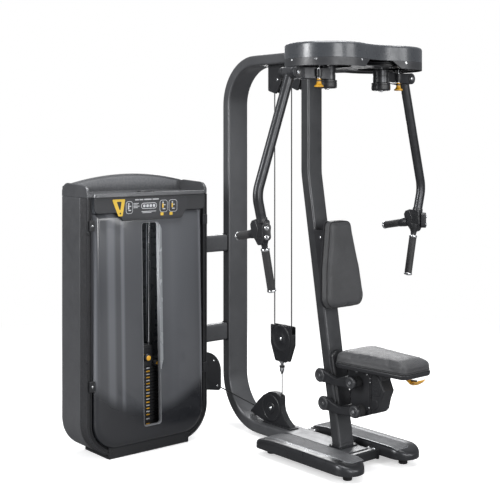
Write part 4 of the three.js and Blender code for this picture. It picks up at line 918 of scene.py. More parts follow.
# rolled rim round the slot
f = Form()
a, b = rect(-690.5, -583.5, 133.5, 1152.5, 16, 8), rect(-687.5, -586.5, 136.5, 1149.5, 13, 8)
m = min(len(a), len(b))
if len(a) == len(b):
    rows = []
    for p, q in zip(a, b):
        rows.append([(p[0], lean_y(479.8, p[1]), p[1]), (q[0], lean_y(479.8, q[1]), q[1]), (q[0], lean_y(503, q[1]), q[1]), (p[0], lean_y(503, p[1]), p[1])])
    f.loop_rings(rows)
    make("shield_slot_rim", f, FLANGE, FR, bevel=0.8, angle=40)
    # the strip down the slot's right edge, pale as a painted highlight
    f = Form()
    for z0, z1, x0, x1 in ((408, 1138, -585.5, -568),):
        rows = []
        for j in range(33):
            z = z0 + (z1 - z0) * j / 32
            w = min(1.0, 0.25 + (z - z0) / 60, 0.25 + (z1 - z) / 30)
            rows.append([(x0, lean_y(482.5, z), z), (x0 + 1, lean_y(479.4, z), z), (x0 + 5, lean_y(478.8, z), z), (x0 + (x1 - x0) * w, lean_y(480.6, z), z), (x0 + (x1 - x0) * w, lean_y(482.5, z), z)])
        f.rings(rows)
    make("shield_slot_flange", f, FLANGE_HIGHLIGHT, FR, angle=40)
# black sheet behind the band edge, filling the gap round the shield with painted shade
make("shield_gap_painted_shade", band(26.5, 33, 531, 545, 1280.0), DARK, FR)
# rear shield with pressed ribs
f = Form().prism(u_path(29, 1283, 4), "y", 738, 743)
make("shield_rear_sheet", f, PLASTIC_GREY, FR, replaces=("rear_shield",), bevel=1.2)
for i in range(4):
    x = -870 + i * 156
    f = Form()
    rows = []
    for j in range(13):
        a = math.radians(180 * j / 12)
        rows.append([(x - 34 * math.cos(a), 743 - 0.5, 0), (x - 34 * math.cos(a), 743 + 5.0 * math.sin(a) ** 0.8, 0)])
    prof = [(x - 30, 742.5), (x - 26, 745.5), (x - 18, 747.6), (x, 748.2), (x + 18, 747.6), (x + 26, 745.5), (x + 30, 742.5)]
    f.rings([[(p[0], p[1] if 0 < k < 5 else 742.6, z) for p in prof] for k, z in enumerate((150, 168, 400, 800, 1180, 1200))])
    make("rear_sheet_rib_%d" % i, f, DARK, FR, angle=35)
for i, (x, z) in enumerate(((-955, 240), (-955, 700), (-955, 1230), (-317, 240), (-317, 700), (-317, 1230), (-820, 60), (-452, 60))):
    bolt("rear_sheet_screw_%d" % i, (x, 743.2, z), (0, 1, 0), 5.5, FR, 3)
# latches on the shield's right edge
for i, z in enumerate((1150, 374)):
    f = Form().prism(rounded([(-991, z - 26, 4), (-964, z - 26, 6), (-964, z + 26, 6), (-991, z + 26, 4)], 12), "y", 498, 511)
    make("shield_latch_%d" % i, f, PLASTIC, FR, bevel=2.2)
    bolt("shield_latch_screw_%d" % i, (-978, 498, z), (0, -1, 0), 4.5, FR, 2.5)
    f = Form().prism(rounded([(-308, z - 26, 6), (-281, z - 26, 4), (-281, z + 26, 4), (-308, z + 26, 6)], 12), "y", 498, 511)
    make("shield_latch_b%d" % i, f, PLASTIC, FR, bevel=2.2)

# guide rods, cushions, plates
for s, side in ((-1, "right"), (1, "left")):
    x = -636 + s * 72
    f = Form().turned((x, 630, 41.3), (x, 630, 100), [(0, 12.5), (1243.4, 12.5)], 48)
    make(side + "_guide_rod_bar", f, CHROME, FR, replaces=(side + "_guide_rod",))
    f = Form().turned((x, 630, 41.3), (x, 630, 100), [(0, 20), (3, 26), (14, 24), (24, 26), (36, 24), (48, 26), (60, 26), (63.3, 23)], 48)
    make(side + "_stack_cushion", f, RUBBER, FR)


def plate(name, z0, z1, body, mark=True):
    f = Form().prism(rect(-786, -486, 570, 690, 5), "z", z0, z1)
    o = make(name, f, IRON, body, angle=40)
    for x, r in ((-636, 14), (-718, 14), (-554, 14)):
        pass
    o.modifiers.new("edge", "BEVEL")
    b = o.modifiers[-1]
    b.width, b.segments, b.limit_method = 0.0018, 3, "ANGLE"
    b.harden_normals = True
    return o


z = 105.0
k = 1
names = {}
for pack in range(1, 6):
    count, h = (2, 26.0) if pack == 1 else (4, 15.75)
    if pack > 1:
        z = 157.3 + (pack - 2) * 63
    for j in range(count):
        o = plate("weight_plate_%02d" % k, z + 0.15, z + h - 1.6, FR)
        if j == 0:
            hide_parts("weight_pack_%d" % pack)
        zc = z + h / 2 - 0.6
        # pin hole ring and a tick at each plate's front, amber and pale by turns
        f = Form().turned((-636, 570.4, zc), (-636, 560, zc), [(0, 6.4), (0.9, 6.2), (0.9, 4.4), (-3.5, 4.2)], 28)
        make("plate_pin_ring_%02d" % k, f, SILVER, FR)
        f = Form().prism(rect(-618, -598, zc - 3.0, zc + 3.0, 1.2), "y", 569.2, 570.4)
        make("plate_tick_%02d" % k, f, ORANGE if k % 2 else PALE, FR)
        z += h
        k += 1

HD = "head_plate"
f = Form().prism(rounded([(-786, 409.6, 3), (-486, 409.6, 3), (-486, 446, 6), (-580, 448, 8), (-586, 519, 12), (-686, 519, 12), (-692, 448, 8), (-786, 446, 6)], 8), "y", 570, 690)
o = make("head_block", f, IRON, HD, replaces=("head_plate",), bevel=2.2, segments=3)
f = Form().turned((-636, 630, 128), (-636, 630, 600), [(0, 9), (3, 12), (283, 12)], 40)
make("head_stem", f, CHROME, HD)
f = Form().turned((-636, 630, 517), (-636, 630, 600), [(0, 17), (5, 17), (6, 14), (16, 14), (18, 10), (23, 7)], 40)
make("head_cable_nut", f, SILVER, HD)
f = Form().prism(rect(-684, -588, 452, 508, 12), "y", 564.5, 570.3)
make("head_face_plate", f, PLASTIC, HD, bevel=1.5)
f = Form().turned((-576, 571, 430), (-576, 500, 430), [(0, 10), (22, 10), (22.2, 13), (24, 15), (35, 15.5), (39, 13), (40, 9)], 48)
make("increment_knob", f, PLASTIC, HD)
f = Form().turned((-576, 532.5, 430), (-576, 500, 430), [(0, 9), (1.4, 8.6), (2.2, 5)], 36)
make("increment_knob_mark", f, ORANGE, HD)
SP = "selector_pin"
f = Form().turned((-636, 648, 464), (-636, 500, 464), [(0, 4), (2, 5.5), (102, 5.5)], 32)
make("pin_shaft", f, CHROME, SP, replaces=("selector_pin",))
f = Form().turned((-636, 562, 464), (-636, 500, 464), [(0, 11), (1.5, 12.5), (4, 17), (16, 17), (18, 19.5), (24, 21), (33, 20.5), (38, 17), (40, 12)], 56)
make("pin_knob", f, PLASTIC, SP)
f = Form().turned((-636, 522.6, 464), (-636, 500, 464), [(0, 13), (1.6, 12.6), (2.6, 9)], 40)
make("pin_knob_cap", f, ORANGE, SP)
f = Form().turned((-636, 547.6, 464), (-636, 500, 464), [(0, 17.4), (0.8, 18.2), (3.2, 18.2), (4, 17.4)], 48)
make("pin_knob_band", f, ORANGE, SP)

# ------------------------------------------------------------------ cable exit, pulleys and their housings
ex = [(-272.7, 238, 0), (-125, 210, 18), (-125, 432, 118), (-272.7, 432, 0)]
f = Form().prism(rounded(ex, 4), "y", 578, 607.4)
make("exit_cover_front", f, PLASTIC, FR, replaces=("exit_pulley_cover",), bevel=3.2, segments=4)
make("exit_cover_rear", Form().prism(rounded(ex, 4), "y", 608.6, 638), PLASTIC, FR, bevel=3.2, segments=4)
make("exit_cover_core", Form().prism(rounded([(-272.7, 241, 0), (-129, 213, 16), (-129, 429, 114), (-272.7, 429, 0)], 6), "y", 600, 616), DARK, FR)
make("exit_cover_panel", Form().prism(rounded([(-262, 250, 6), (-141, 226, 10), (-141, 418, 102), (-262, 418, 6)], 5), "y", 575.8, 578.4), PLASTIC, FR, bevel=1.2)
for i, (x, z) in enumerate(((-252, 262), (-154, 240), (-252, 404), (-178, 380))):
    bolt("exit_cover_bolt_%d" % i, (x, 575.9, z), (0, -1, 0), 5, FR, 3)
    bolt("exit_cover_rear_bolt_%d" % i, (x, 638.1, z), (0, 1, 0), 5, FR, 3)


def wheel_form(x, y, z, r):
    rim = [(-11, r), (-8.4, r), (-7.2, r - 1.2), (-3.4, r - 6.6), (-1.6, r - 7.3), (1.6, r - 7.3), (3.4, r - 6.6), (7.2, r - 1.2), (8.4, r), (11, r), (11, r - 10), (6, r - 13), (6, 22), (11, 19), (11, 8.3), (-11, 8.3), (-11, 19), (-6, 22), (-6, r - 13), (-11, r - 10)]
    return Form().hoop((x, y, z), (x + 10, y, z), rim, 80)


def wheel(name, node, x, y, z, r, body):
    f = wheel_form(x, y, z, r)
    # spokes' round lightening marks: raised bosses on the web
    for k in range(6):
        a = math.radians(30 + 60 * k)
        q = (r - 13 + 22) / 2
        for sgn in (-1, 1):
            f.hoop((x + sgn * 5.6, y + q * math.cos(a), z + q * math.sin(a)), (x + sgn * 30, y + q * math.cos(a), z + q * math.sin(a)), [(0, 4.5), (0, 7.5), (1.6, 7.2), (1.6, 4.8)], 24)
    return make(name, f, NYLON, body, replaces=(node,), angle=32)


LPY, LPZ = 293, 155
hous = [(465, 104, 5), (431, 140, 30), (398, 176, 40), (357, 211, 40), (308, 238, 40), (260, 243, 20), (221, 231, 6), (216, 222, 4), (216, 180, 20), (208, 150, 20), (181, 114, 20), (146, 90, 12), (130, 73.2, 0), (340, 73.2, 30)]
o = make("lower_pulley_core", Form().prism(rounded(hous, 6), "x", -13.2, 13.2), DARK, FR, replaces=("lower_pulley_housing",))
carve(o, Form().turned((-12.6, LPY, LPZ), (20, LPY, LPZ), [(0, 74.5), (25.2, 74.5)], 96))
carve(o, Form().prism(rect(LPY - 74, LPY - 60, LPZ, 260, 2), "x", -8, 8))
carve(o, Form().prism([(LPY, 77), (LPY + 40, 77), (470, 130), (470, 165), (LPY, 100)], "x", -8, 8))
finish_mesh(o, angle=35)
for s in (-1, 1):
    side = "rl"[s > 0]
    f = Form().prism(rounded(hous, 4), "x", s * 13.4, s * 17)
    make("lower_pulley_cheek_" + side, f, PLASTIC, FR, bevel=3.0, segments=4)
    f = Form().turned((s * 16.5, LPY, LPZ), (s * 60, LPY, LPZ), [(0, 71), (2.2, 71), (3.8, 69.6), (4.6, 67), (4.6, 60), (3.6, 58.6), (3.4, 30), (4.4, 28.5), (5.6, 27), (5.6, 14)], 96)
    make("lower_pulley_disc_" + side, f, PLASTIC, FR, angle=32)
    bolt("lower_pulley_bolt_" + side, (s * 21.6, LPY, LPZ), (s, 0, 0), 9, FR, 6)
    for i, (y, z) in enumerate(((226, 224), (226, 128), (404, 152), (440, 116), (172, 88))):
        bolt("lower_housing_screw_%s%d" % (side, i), (s * 17.0, y, z), (s, 0, 0), 4.6, FR, 2.6, DARK)
make("lower_pulley_axle", Form().turned((-19, LPY, LPZ), (0, LPY, LPZ), [(0, 8), (38, 8)], 32), SILVER, FR)
make("lower_housing_foot", Form().prism(rect(128, 346, 73.0, 78.5, 2), "x", -30, 30), DARK, FR, bevel=1.6)
for i, (x, y) in enumerate(((-39, 110), (39, 110), (-39, 338), (39, 338))):
    pass
wheel("lower_pulley_wheel", "lower_pulley", 0, LPY, LPZ, 72, "lower_pulley")

FPY, FPZ = 216.5, 530
FB = "floating_block"
blk = [(298, 598, 8), (298, 500, 16), (262, 410, 16), (172, 410, 16), (135, 503, 16), (135, 600, 8)]
o = make("floating_block_core", Form().prism(rounded([(295, 560, 4), (295, 501, 16), (260, 413, 14), (174, 413, 14), (138, 503, 16), (138, 560, 4)], 6), "x", -12.9, 12.9), DARK, FB, replaces=("floating_pulley_block",))
carve(o, Form().turned((-20, FPY, FPZ), (20, FPY, FPZ), [(0, 70), (40, 70)], 96))
carve(o, Form().prism(rect(FPY - 70, FPY + 70, FPZ, 640, 1), "x", -20, 20))
finish_mesh(o, angle=35)
for s in (-1, 1):
    side = "rl"[s > 0]
    make("floating_cheek_" + side, Form().prism(rounded(blk, 4), "x", s * 12.7, s * 15.5), PLASTIC, FB, bevel=1.3, segments=4)
    f = Form().turned((s * 15.0, FPY, FPZ), (s * 60, FPY, FPZ), [(0, 70), (1.4, 70), (2.6, 68.6), (3.2, 66.5), (3.2, 59), (2.2, 57), (2.0, 26), (3.2, 24), (3.2, 12)], 96)
    make("floating_disc_" + side, f, PLASTIC, FB, angle=32)
    bolt("floating_bolt_" + side, (s * 18, FPY, FPZ), (s, 0, 0), 8.5, FB, 5)
    for i, (y, z) in enumerate(((288, 585), (145, 586), (250, 426), (184, 426))):
        bolt("floating_screw_%s%d" % (side, i), (s * 15.5, y, z), (s, 0, 0), 4.4, FB, 2.4, DARK)
make("floating_axle", Form().turned((-17, FPY, FPZ), (0, FPY, FPZ), [(0, 8), (34, 8)], 32), SILVER, FB)
f = Form().turned((0, 224, 414), (0, 224, 300), [(0, 15), (8, 15), (10, 13), (16, 9), (24, 8), (27, 12), (30, 13), (52, 13), (55, 12), (60, 8), (70, 7)], 40)
make("floating_swivel", f, SILVER, FB)
make("floating_swivel_nut", Form().turned((0, 224, 390), (0, 224, 300), [(0, 15.5), (12, 15.5)], 6), DARK, FB, bevel=1.2)
wheel("floating_wheel", "floating_pulley", 0, FPY, FPZ, 67, "floating_pulley")

ARM_UNDER = 1985 - 27.25
make("pulley_bracket_plate", Form().prism(rect(60, 308, ARM_UNDER - 12, ARM_UNDER - 0.3, 3), "x", -27, 27), DARK, FR, replaces=("top_pulley_bracket",), bevel=1.6)
for nm, pts in (("rear", [(205, ARM_UNDER - 4), (308, ARM_UNDER - 4), (308, 1824, 10), (248, 1806, 10), (205, 1866, 16)]), ("front", [(60, ARM_UNDER - 4), (139, ARM_UNDER - 4), (139, 1839, 10), (80, 1816, 10), (60, 1856, 12)])):
    for s in (-1, 1):
        make("pulley_cheek_%s_%s" % (nm, "rl"[s > 0]), Form().prism(rounded(pts, 6), "x", s * 14, s * 25), PLASTIC, FR, bevel=2.0)
for nm, (y, z) in (("rear", (234, 1880)), ("front", (99, 1880))):
    make("top_axle_" + nm, Form().turned((-26, y, z), (0, y, z), [(0, 8), (52, 8)], 32), SILVER, FR)
    for s in (-1, 1):
        bolt("top_axle_head_%s_%s" % (nm, "rl"[s > 0]), (s * 25, y, z), (s, 0, 0), 7, FR, 5)
    wheel(nm + "_top_wheel", nm + "_top_pulley", 0, y, z, 50, nm + "_top_pulley")
wheel("tower_top_wheel", "tower_top_pulley", -636, 680, 1228, 50, "tower_top_pulley")
make("tower_wheel_axle", Form().turned((-664, 680, 1228), (0, 680, 1228), [(0, 8), (56, 8)], 32), SILVER, FR)
for s in (-1, 1):
    make("tower_wheel_cheek_" + "rl"[s > 0], Form().prism(rounded([(640, 1284.6, 2), (720, 1284.6, 2), (716, 1210, 22), (650, 1210, 22)], 8), "x", -636 + s * 16, -636 + s * 22), DARK, FR, bevel=1.2)

# cables
rnd = circle(0, 0, 3.0, 20)


def cable(name, points, body="frame", node=None, blend=None, gap=14, r=3.0):
    f = Form().sweep(even(path_of(points, 5), gap), circle(0, 0, r, 20), (0.31, 0.11, 0.2) if blend is None else (1, 0, 0))
    o = make(name, f, CABLE, None if blend else body, replaces=(node,) if node else (), angle=60)
    if blend:
        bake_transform(o)
    return o


cable("stack_cable_run", [(-636, 630, 536), (-636, 630, 1228)], node="stack_cable", blend=("frame", HD, (-636, 630, 1228), (-636, 630, 541)))
cable("lift_cable_run", [(0, 224, 170), (0, 224, 350)], node="lift_cable", blend=("frame", FB, (0, 224, 185), (0, 224, 343)))
cable("crossover_cable_run", [(-120, 590, 224), (-112, 580, 219, 12), (0, 452, 137, 20), (0, 415, 126)], node="crossover_cable")
cable("arm_cable_run", [(0, 282.5, 1880), (0, 282.5, 467, 62), (0, 150.5, 467, 62), (0, 150.5, 1880)], node="arm_cable", blend=("frame", FB, (0, 216, 1876), (0, 216, 600)))
# over the two top wheels and forward through the column window to the cams
cable("top_cable_rear", [(0, 282.5, 1878), (0, 282.5, 1928, 46), (0, 150, 1928.5)] if False else [(0, 281, 1880), (0, 281, 1927, 44), (0, 200, 1927)])
cable("top_cable_front", [(0, 148.5, 1880), (0, 148.5, 1927, 44), (0, 40, 1927), (0, -60, 1931)] if False else [(0, 148.5, 1880), (0, 148.5, 1927, 44), (0, -80, 1931)])
cable("tower_cable_over", [(-636, 632, 1226), (-636, 632, 1277, 44), (-636, 728, 1277, 44), (-636, 728, 150)])

# ------------------------------------------------------------------ head: crossbeam, cams, carriers
f = Form().prism(rounded([(-61, -45.3), (61, -45.3), (226, -262, 20), (226, -338, 20), (-226, -338, 20), (-226, -262, 20)], 5), "z", 1958, 1990)
xb = make("crossbeam_body", f, DARK, FR, replaces=("top_crossbeam",))
for s in (-1, 1):
    carve(xb, Form().turned((s * 185, -303, 1946), (s * 185, -303, 2100), [(0, 36), (58, 36)], 64), "UNION")
    carve(xb, Form().turned((s * 185, -303, 1930), (s * 185, -303, 2100), [(0, 14.4), (90, 14.4)], 48))
finish_mesh(xb, bevel=1.5, angle=35)
ARMS = ((-1, "right"), (1, "left"))
for s, side in ARMS:
    hx = s * 185
    CAM, CAR, PIN, ARM = side + "_cam", side + "_arm_carrier", side + "_pull_pin", side + "_arm"
    f = Form().turned((hx, -303, 1922), (hx, -303, 2000), [(0, 157), (0.8, 160), (4.4, 160), (6.6, 155), (8.2, 154), (9.8, 154), (11.4, 155), (13.6, 160), (17.2, 160), (18, 157)], 120)
    cam = make(side + "_cam_disc", f, PLASTIC, CAM, replaces=(side + "_cam",), angle=32)
    for k in range(6):
        a = math.radians(60 * k + 15)
        carve(cam, Form().turned((hx + 95 * math.cos(a), -303 + 95 * math.sin(a), 1915), (hx + 95 * math.cos(a), -303 + 95 * math.sin(a), 2000), [(0, 22), (40, 22)], 40))
    finish_mesh(cam, angle=32)
    make(side + "_shaft", Form().turned((hx, -303, 1809), (hx, -303, 2000), [(0, 12), (1, 14), (187, 14), (189, 12)], 48), CHROME, CAM)
    f = Form().turned((hx, -303, 1808), (hx, -303, 2000), [(0, 20), (0.5, 40), (2, 44), (5, 46.5), (8, 47), (26, 47), (27.5, 45.5), (30, 45.5), (31.5, 47), (37.5, 47), (38.7, 45.6)], 80)
    make(side + "_hub_cap", f, PLASTIC, CAM, angle=32)
    bolt(side + "_hub_bolt", (hx, -303, 1808), (0, 0, -1), 12, CAM, 6)

    # carrier: drum, web, cheeks
    f = Form().hoop((hx, -303, 1847), (hx, -303, 2000), [(0, 14.4), (0, 38), (1.8, 40), (27, 40), (28, 38.8), (36, 38.8), (37, 40), (62.2, 40), (64, 38), (64, 14.4)], 80)
    make(side + "_carrier_drum", f, POWDER, CAR, replaces=(side + "_arm_carrier",), angle=32)
    web = [(s * x, y, *r) for x, y, *r in ((200, -341, 2), (350, -324, 8), (350, -216, 8), (200, -265, 2))]
    web = Form().prism(rounded(web, 6), "z", 1851, 1899)
    o = make(side + "_carrier_web", web, POWDER, CAR)
    carve(o, Form().turned((hx, -303, 1830), (hx, -303, 2000), [(0, 39.6), (90, 39.6)], 80))
    carve(o, Form().prism(rounded([(s * x, y, 8) for x, y in ((240, -312), (330, -300), (330, -240), (240, -272))], 8), "z", 1893, 1905))
    finish_mesh(o, bevel=3.0, segments=4, angle=40)
    cheek = [(s * 342, 1899, 4), (s * 342, 1851, 4)]
    out = [(s * (389 + 28 * math.cos(math.radians(a))), 1875 + 28 * math.sin(math.radians(a))) for a in range(-95, 96, 5)]
    pts = clean([(s * 342, 1899)] + out[::-1] + [(s * 342, 1851)])
    for nm, y0, y1 in (("front", -324, -302.5), ("rear", -237.5, -216)):
        make("%s_carrier_cheek_%s" % (side, nm), Form().prism(pts, "y", y0, y1), POWDER, CAR, bevel=2.4, segments=4)
    make(side + "_tilt_pin", Form().turned((s * 389, -323, 1875), (s * 389, 0, 1875), [(0, 9), (1, 10), (105, 10), (106, 9)], 40), SILVER, CAR)
    for nm, y0, dy in (("front", -324, -1), ("rear", -216, 1)):
        make("%s_tilt_washer_%s" % (side, nm), Form().turned((s * 389, y0 - dy * 1, 1875), (s * 389, y0 + dy * 20, 1875), [(0, 23), (3, 23), (4, 21.6), (4.4, 14), (3.6, 12), (3.4, 6)], 64), PLASTIC, CAR, angle=32)
        bolt("%s_tilt_head_%s" % (side, nm), (s * 389, y0 + dy * 2.6, 1875), (0, dy, 0), 7.5, CAR, 5)
    f = Form().hoop((s * 272, -339, 1852), (s * 272, -339, 2000), [(0, 7.3), (0, 9.5), (1.5, 11), (8, 11), (9, 16), (40, 16), (42, 14.6), (42, 7.3)], 56)
    make(side + "_pin_housing", f, PLASTIC, CAR, angle=32)
    make(side + "_pin_lug", Form().prism(rounded([(s * 252, -330, 3), (s * 292, -330, 3), (s * 288, -306, 3), (s * 256, -306, 3)], 8), "z", 1856, 1892), POWDER, CAR, bevel=2)
    # pull pin: plunger and flared amber knob
    make(side + "_plunger", Form().turned((s * 272, -339, 1846), (s * 272, -339, 2000), [(0, 7), (68, 7), (70, 5)], 32), CHROME, PIN, replaces=(side + "_pull_pin",))
    f = Form().turned((s * 272, -339, 1850), (s * 272, -339, 1700), [(0, 8.5), (1, 9.6), (8, 10.4), (18, 11), (25, 12.4), (29, 15.4), (31.5, 19.4), (33, 21), (36.5, 21.6), (39, 20.6), (40, 17), (39.4, 9)], 72)
    make(side + "_pull_knob", f, ORANGE, PIN, angle=40)
    f = Form().hoop((s * 272, -339, 1843), (s * 272, -339, 1700), [(0, 10), (0, 11.8), (1, 12.4), (5, 12.4), (6, 11.8), (6, 10)], 56)
    make(side + "_knob_collar", f, PLASTIC, PIN, angle=32)

    # arm
    f = Form().turned((s * 389, -301.6, 1875), (s * 389, 0, 1875), [(0, 10.6), (0, 26), (2, 28), (61.2, 28), (63.2, 26), (63.2, 10.6)], 72)
    f = Form().hoop((s * 389, -301.6, 1875), (s * 389, 0, 1875), [(0, 10.4), (0, 26), (2, 28), (61.2, 28), (63.2, 26), (63.2, 10.4)], 72)
    make(side + "_arm_barrel", f, POWDER, ARM, replaces=(side + "_arm",), angle=32)
    st = even(path_of([(s * 392, -270, 1866), (s * 563, -238, 1318, 150), (s * 532, -238, 1195)], 2), 40)
    oval = [(21.5 * math.cos(math.radians(a)), 25 * math.sin(math.radians(a))) for a in range(0, 360, 6)]
    make(side + "_arm_tube", Form().sweep(st, oval, (0, 1, 0)), POWDER, ARM, angle=60)
    # collar where the tube enters the handle casting
    e = (Vector((s * 532, -238, 1195)) - Vector((s * 563, -238, 1318))).normalized()
    q = Vector((s * 532, -238, 1195)) - e * 16
    f = Form()
    f.sweep([(q, e), (q + e * 2, e), (q + e * 10, e), (q + e * 14, e)], [(0, 0)] * 3, (0, 1, 0)) if False else None
    rings = []
    for d, k in ((0, 0.4), (1, 2.2), (9, 3.2), (16, 3.4)):
        c = q + e * d
        a1 = Vector((0, 1, 0))
        a1 = (a1 - e * a1.dot(e)).normalized()
        b1 = e.cross(a1)
        rings.append([c + a1 * ((21.5 + k) * math.cos(math.radians(a))) + b1 * ((25 + k) * math.sin(math.radians(a))) for a in range(0, 360, 6)])
    make(side + "_arm_collar", Form().rings(rings), PLASTIC, ARM, angle=40)
    bx = s * 525
    body = rounded([(-168, 1179, 8), (-178, 1196, 10), (-200, 1204, 10), (-266, 1203, 12), (-271, 1130, 24), (-249, 1092, 16), (-217, 1084, 10), (-186, 1121, 20), (-172, 1161, 10)], 6)
    make(side + "_handle_casting", Form().prism(body, "x", bx - 18, bx + 18), PLASTIC, ARM, bevel=6.0, segments=5)
    # side ear that carries the horizontal grip
    ear = rounded([(-166, 1178, 8), (-177, 1196, 10), (-204, 1203, 12), (-226, 1160, 20), (-214, 1100, 12), (-184, 1121, 16), (-170, 1161, 10)], 6)
    make(side + "_handle_ear", Form().prism(ear, "x", bx - 20.5, bx + 20.5), PLASTIC, ARM, bevel=5.0, segments=4)
    # lobed clamp plate with two bright bolts, turned outwards at the front corner
    n = Vector((s * -0.62 * -1, -0.785, 0)).normalized() if False else Vector((s * 0.60, -0.80, 0)).normalized()
    c0 = Vector((s * 540, -279, 1147))
    up = Vector((0.0, 0.0, 1.0))
    ax = up.cross(n).normalized()
    prof = rounded([(-19, -36, 18), (-22, 40, 18), (22, 44, 18), (18, 4, 30), (22, -38, 18)], 6)
    rings = []
    for d, g in ((-16, 0), (3.0, 0), (5.4, -0.8), (7.0, -2.6), (7.6, -5.0)):
        rings.append([c0 + n * d + ax * (a * (1 + g / 22)) + up * (b * (1 + g / 42)) for a, b in prof])
    make(side + "_clamp_plate", Form().rings(rings), PLASTIC, ARM, angle=40)
    for i, z in enumerate((1168, 1126)):
        p = c0 + n * 7.4
        bolt("%s_clamp_bolt_%d" % (side, i), (p.x, p.y, z), tuple(n), 8.4, ARM, 4.5)

    def P(p):
        return Vector((s * p[0], p[1], p[2]))

    g0, g1 = P((507, -230, 1067)), P((466, -230, 867))
    vd = (g1 - g0).normalized()
    L = (g1 - g0).length
    make(side + "_handle_neck", Form().turned(g0 - vd * 62, g1, [(0, 30), (14, 28), (30, 20), (44, 15), (54, 14), (61.6, 14)], 64), PLASTIC, ARM, angle=50)
    make(side + "_grip_ring_top", Form().turned(g0 - vd * 5, g1, [(0, 13.4), (0.4, 17), (2.4, 19.6), (5, 20.6), (8, 20.6), (10.6, 20.2), (13, 19.2)], 64), SILVER, ARM, angle=50)
    f = Form().turned(g0, g1, [(6, 17), (7.4, 18.6), (9, 19)] + [(9 + (L - 19) * k / 40, 19 + (0.28 if k % 2 else -0.12)) for k in range(1, 40)] + [(L - 10, 19), (L - 8.4, 18.4)], 72)
    make(side + "_vertical_grip_sleeve", f, GRIP, ARM, replaces=(side + "_vertical_grip",), angle=60)
    make(side + "_grip_ring_end", Form().turned(g0, g1, [(L - 12, 19.0), (L - 10.6, 20.2), (L - 8, 20.7), (L - 4.4, 20.7), (L - 2.4, 19.8), (L - 0.6, 17), (L, 12), (L + 0.2, 7)], 64), SILVER, ARM, angle=50)
    make(side + "_grip_end_plug", Form().turned(g0, g1, [(L - 3, 10), (L + 0.4, 10), (L + 1.2, 8.6), (L + 1.4, 4)], 40), DARK, ARM)
    h0, h1 = P((510, -138.5, 1130)), P((504, -29, 1111))
    hd = (h1 - h0).normalized()
    M = (h1 - h0).length
    make(side + "_horizontal_neck", Form().turned(h0 - hd * 52, h1, [(0, 20), (14, 24), (30, 23), (42, 21.5), (52.4, 21)], 64), PLASTIC, ARM, angle=50)
    f = Form().turned(h0, h1, [(0, 17.5), (1, 19)] + [(1 + (M - 11) * k / 24, 19 + (0.28 if k % 2 else -0.12)) for k in range(1, 24)] + [(M - 10, 19), (M - 8.6, 18.4)], 72)
    make(side + "_horizontal_grip_sleeve", f, GRIP, ARM, replaces=(side + "_horizontal_grip",), angle=60)
    make(side + "_horizontal_ring_end", Form().turned(h0, h1, [(M - 12, 19.0), (M - 10.6, 20.2), (M - 8, 20.7), (M - 4.4, 20.7), (M - 2.4, 19.8), (M - 0.6, 17), (M, 12), (M + 0.2, 7)], 64), SILVER, ARM, angle=50)
    make(side + "_horizontal_end_plug", Form().turned(h0, h1, [(M - 3, 10), (M + 0.4, 10), (M + 1.2, 8.6), (M + 1.4, 4)], 40), DARK, ARM)

# ------------------------------------------------------------------ shroud


def shroud_plan(d):
    R, cx, cy, rho = 200 - d, 186, -303, 300 + d
    wy = cy - math.sqrt((R + rho) ** 2 - cx * cx)
    a0 = math.degrees(math.atan2(wy - cy, -cx))
    neck, q = 110 - d, 40 + d
    fx = neck + q
    fy = cy + math.sqrt((R + q) ** 2 - (fx - cx) ** 2)
    a1 = math.degrees(math.atan2(fy - cy, fx - cx))
    half = arc(0, wy, rho, 90, 180 + a0, 16)
    half = half[:-1] + arc(cx, cy, R, a0, a1, 72)
    half = half[:-1] + arc(fx, fy, q, a1 + 180, 180, 10)
    r = 50 - min(d, 44)
    half += arc(neck - r, 60 - d - r, r, 0, 90, 10)
    other = [(-x, y) for x, y in half][::-1]
    return half + other[:-1]


f = Form()
rings = []
for d, z in ((0, 1942.5), (0, 1945), (0, 1970), (0, 2002)):
    rings.append([(x, y, z) for x, y in shroud_plan(d)])
for k in range(1, 13):
    a = math.radians(90 * k / 12)
    rings.append([(x, y, 2002 + 13.4 * math.sin(a)) for x, y in shroud_plan(15 * (1 - math.cos(a)))])
for d, z in ((24, 2015.8), (44, 2016.2), (80, 2016.8)):
    rings.append([(x, y, z) for x, y in shroud_plan(d)])
# the underside of the cover, 5 mm in
inner = [[(x, y, z) for x, y in shroud_plan(d)] for d, z in ((80, 2013.4), (44, 2012.6), (24, 2011.8))]
for k in range(12, 0, -1):
    a = math.radians(90 * k / 12)
    inner.append([(x, y, 2001.5 + 10 * math.sin(a)) for x, y in shroud_plan(5 + 10 * (1 - math.cos(a)))])
inner += [[(x, y, z) for x, y in shroud_plan(5)] for z in (2001.5, 1970, 1942.5)]
n = len(rings[0])
base = len(rings)
f.rings(rings, cap0=False, cap1=True)
off = len(f.v)
f.rings(inner, cap0=True, cap1=False)
last = off + (len(inner) - 1) * n
f.f += [(j, (j + 1) % n, last + (j + 1) % n, last + j) for j in range(n)]
up = make("shroud_cover", f, PLASTIC_GREY, FR, replaces=("shroud_upper",), angle=50)
carve(up, Form().prism(rect(-69.5, 69.5, 1920, 2012.4, 2), "y", 20, 90))
finish_mesh(up, angle=40)

rings = [[(x, y, z) for x, y in shroud_plan(d)] for d, z in ((1.4, 1904.6), (0, 1906.2), (0, 1915), (0, 1930), (0, 1940.6), (1.2, 1941.6), (5, 1941.6), (5, 1925), (5, 1904.6))]
f = Form().loop_rings(rings)
lo = make("shroud_skirt", f, PLASTIC_GREY_LOW, FR, replaces=("shroud_lower",), angle=50)
carve(lo, Form().prism(rect(-69.5, 69.5, 1890, 1990, 4), "y", 20, 90))
carve(lo, Form().prism(rounded([(-130, 1899), (-75, 1940.4, 6), (81, 1940.4, 6), (133, 1899)], 8), "y", -520, -440))
finish_mesh(lo, angle=40)
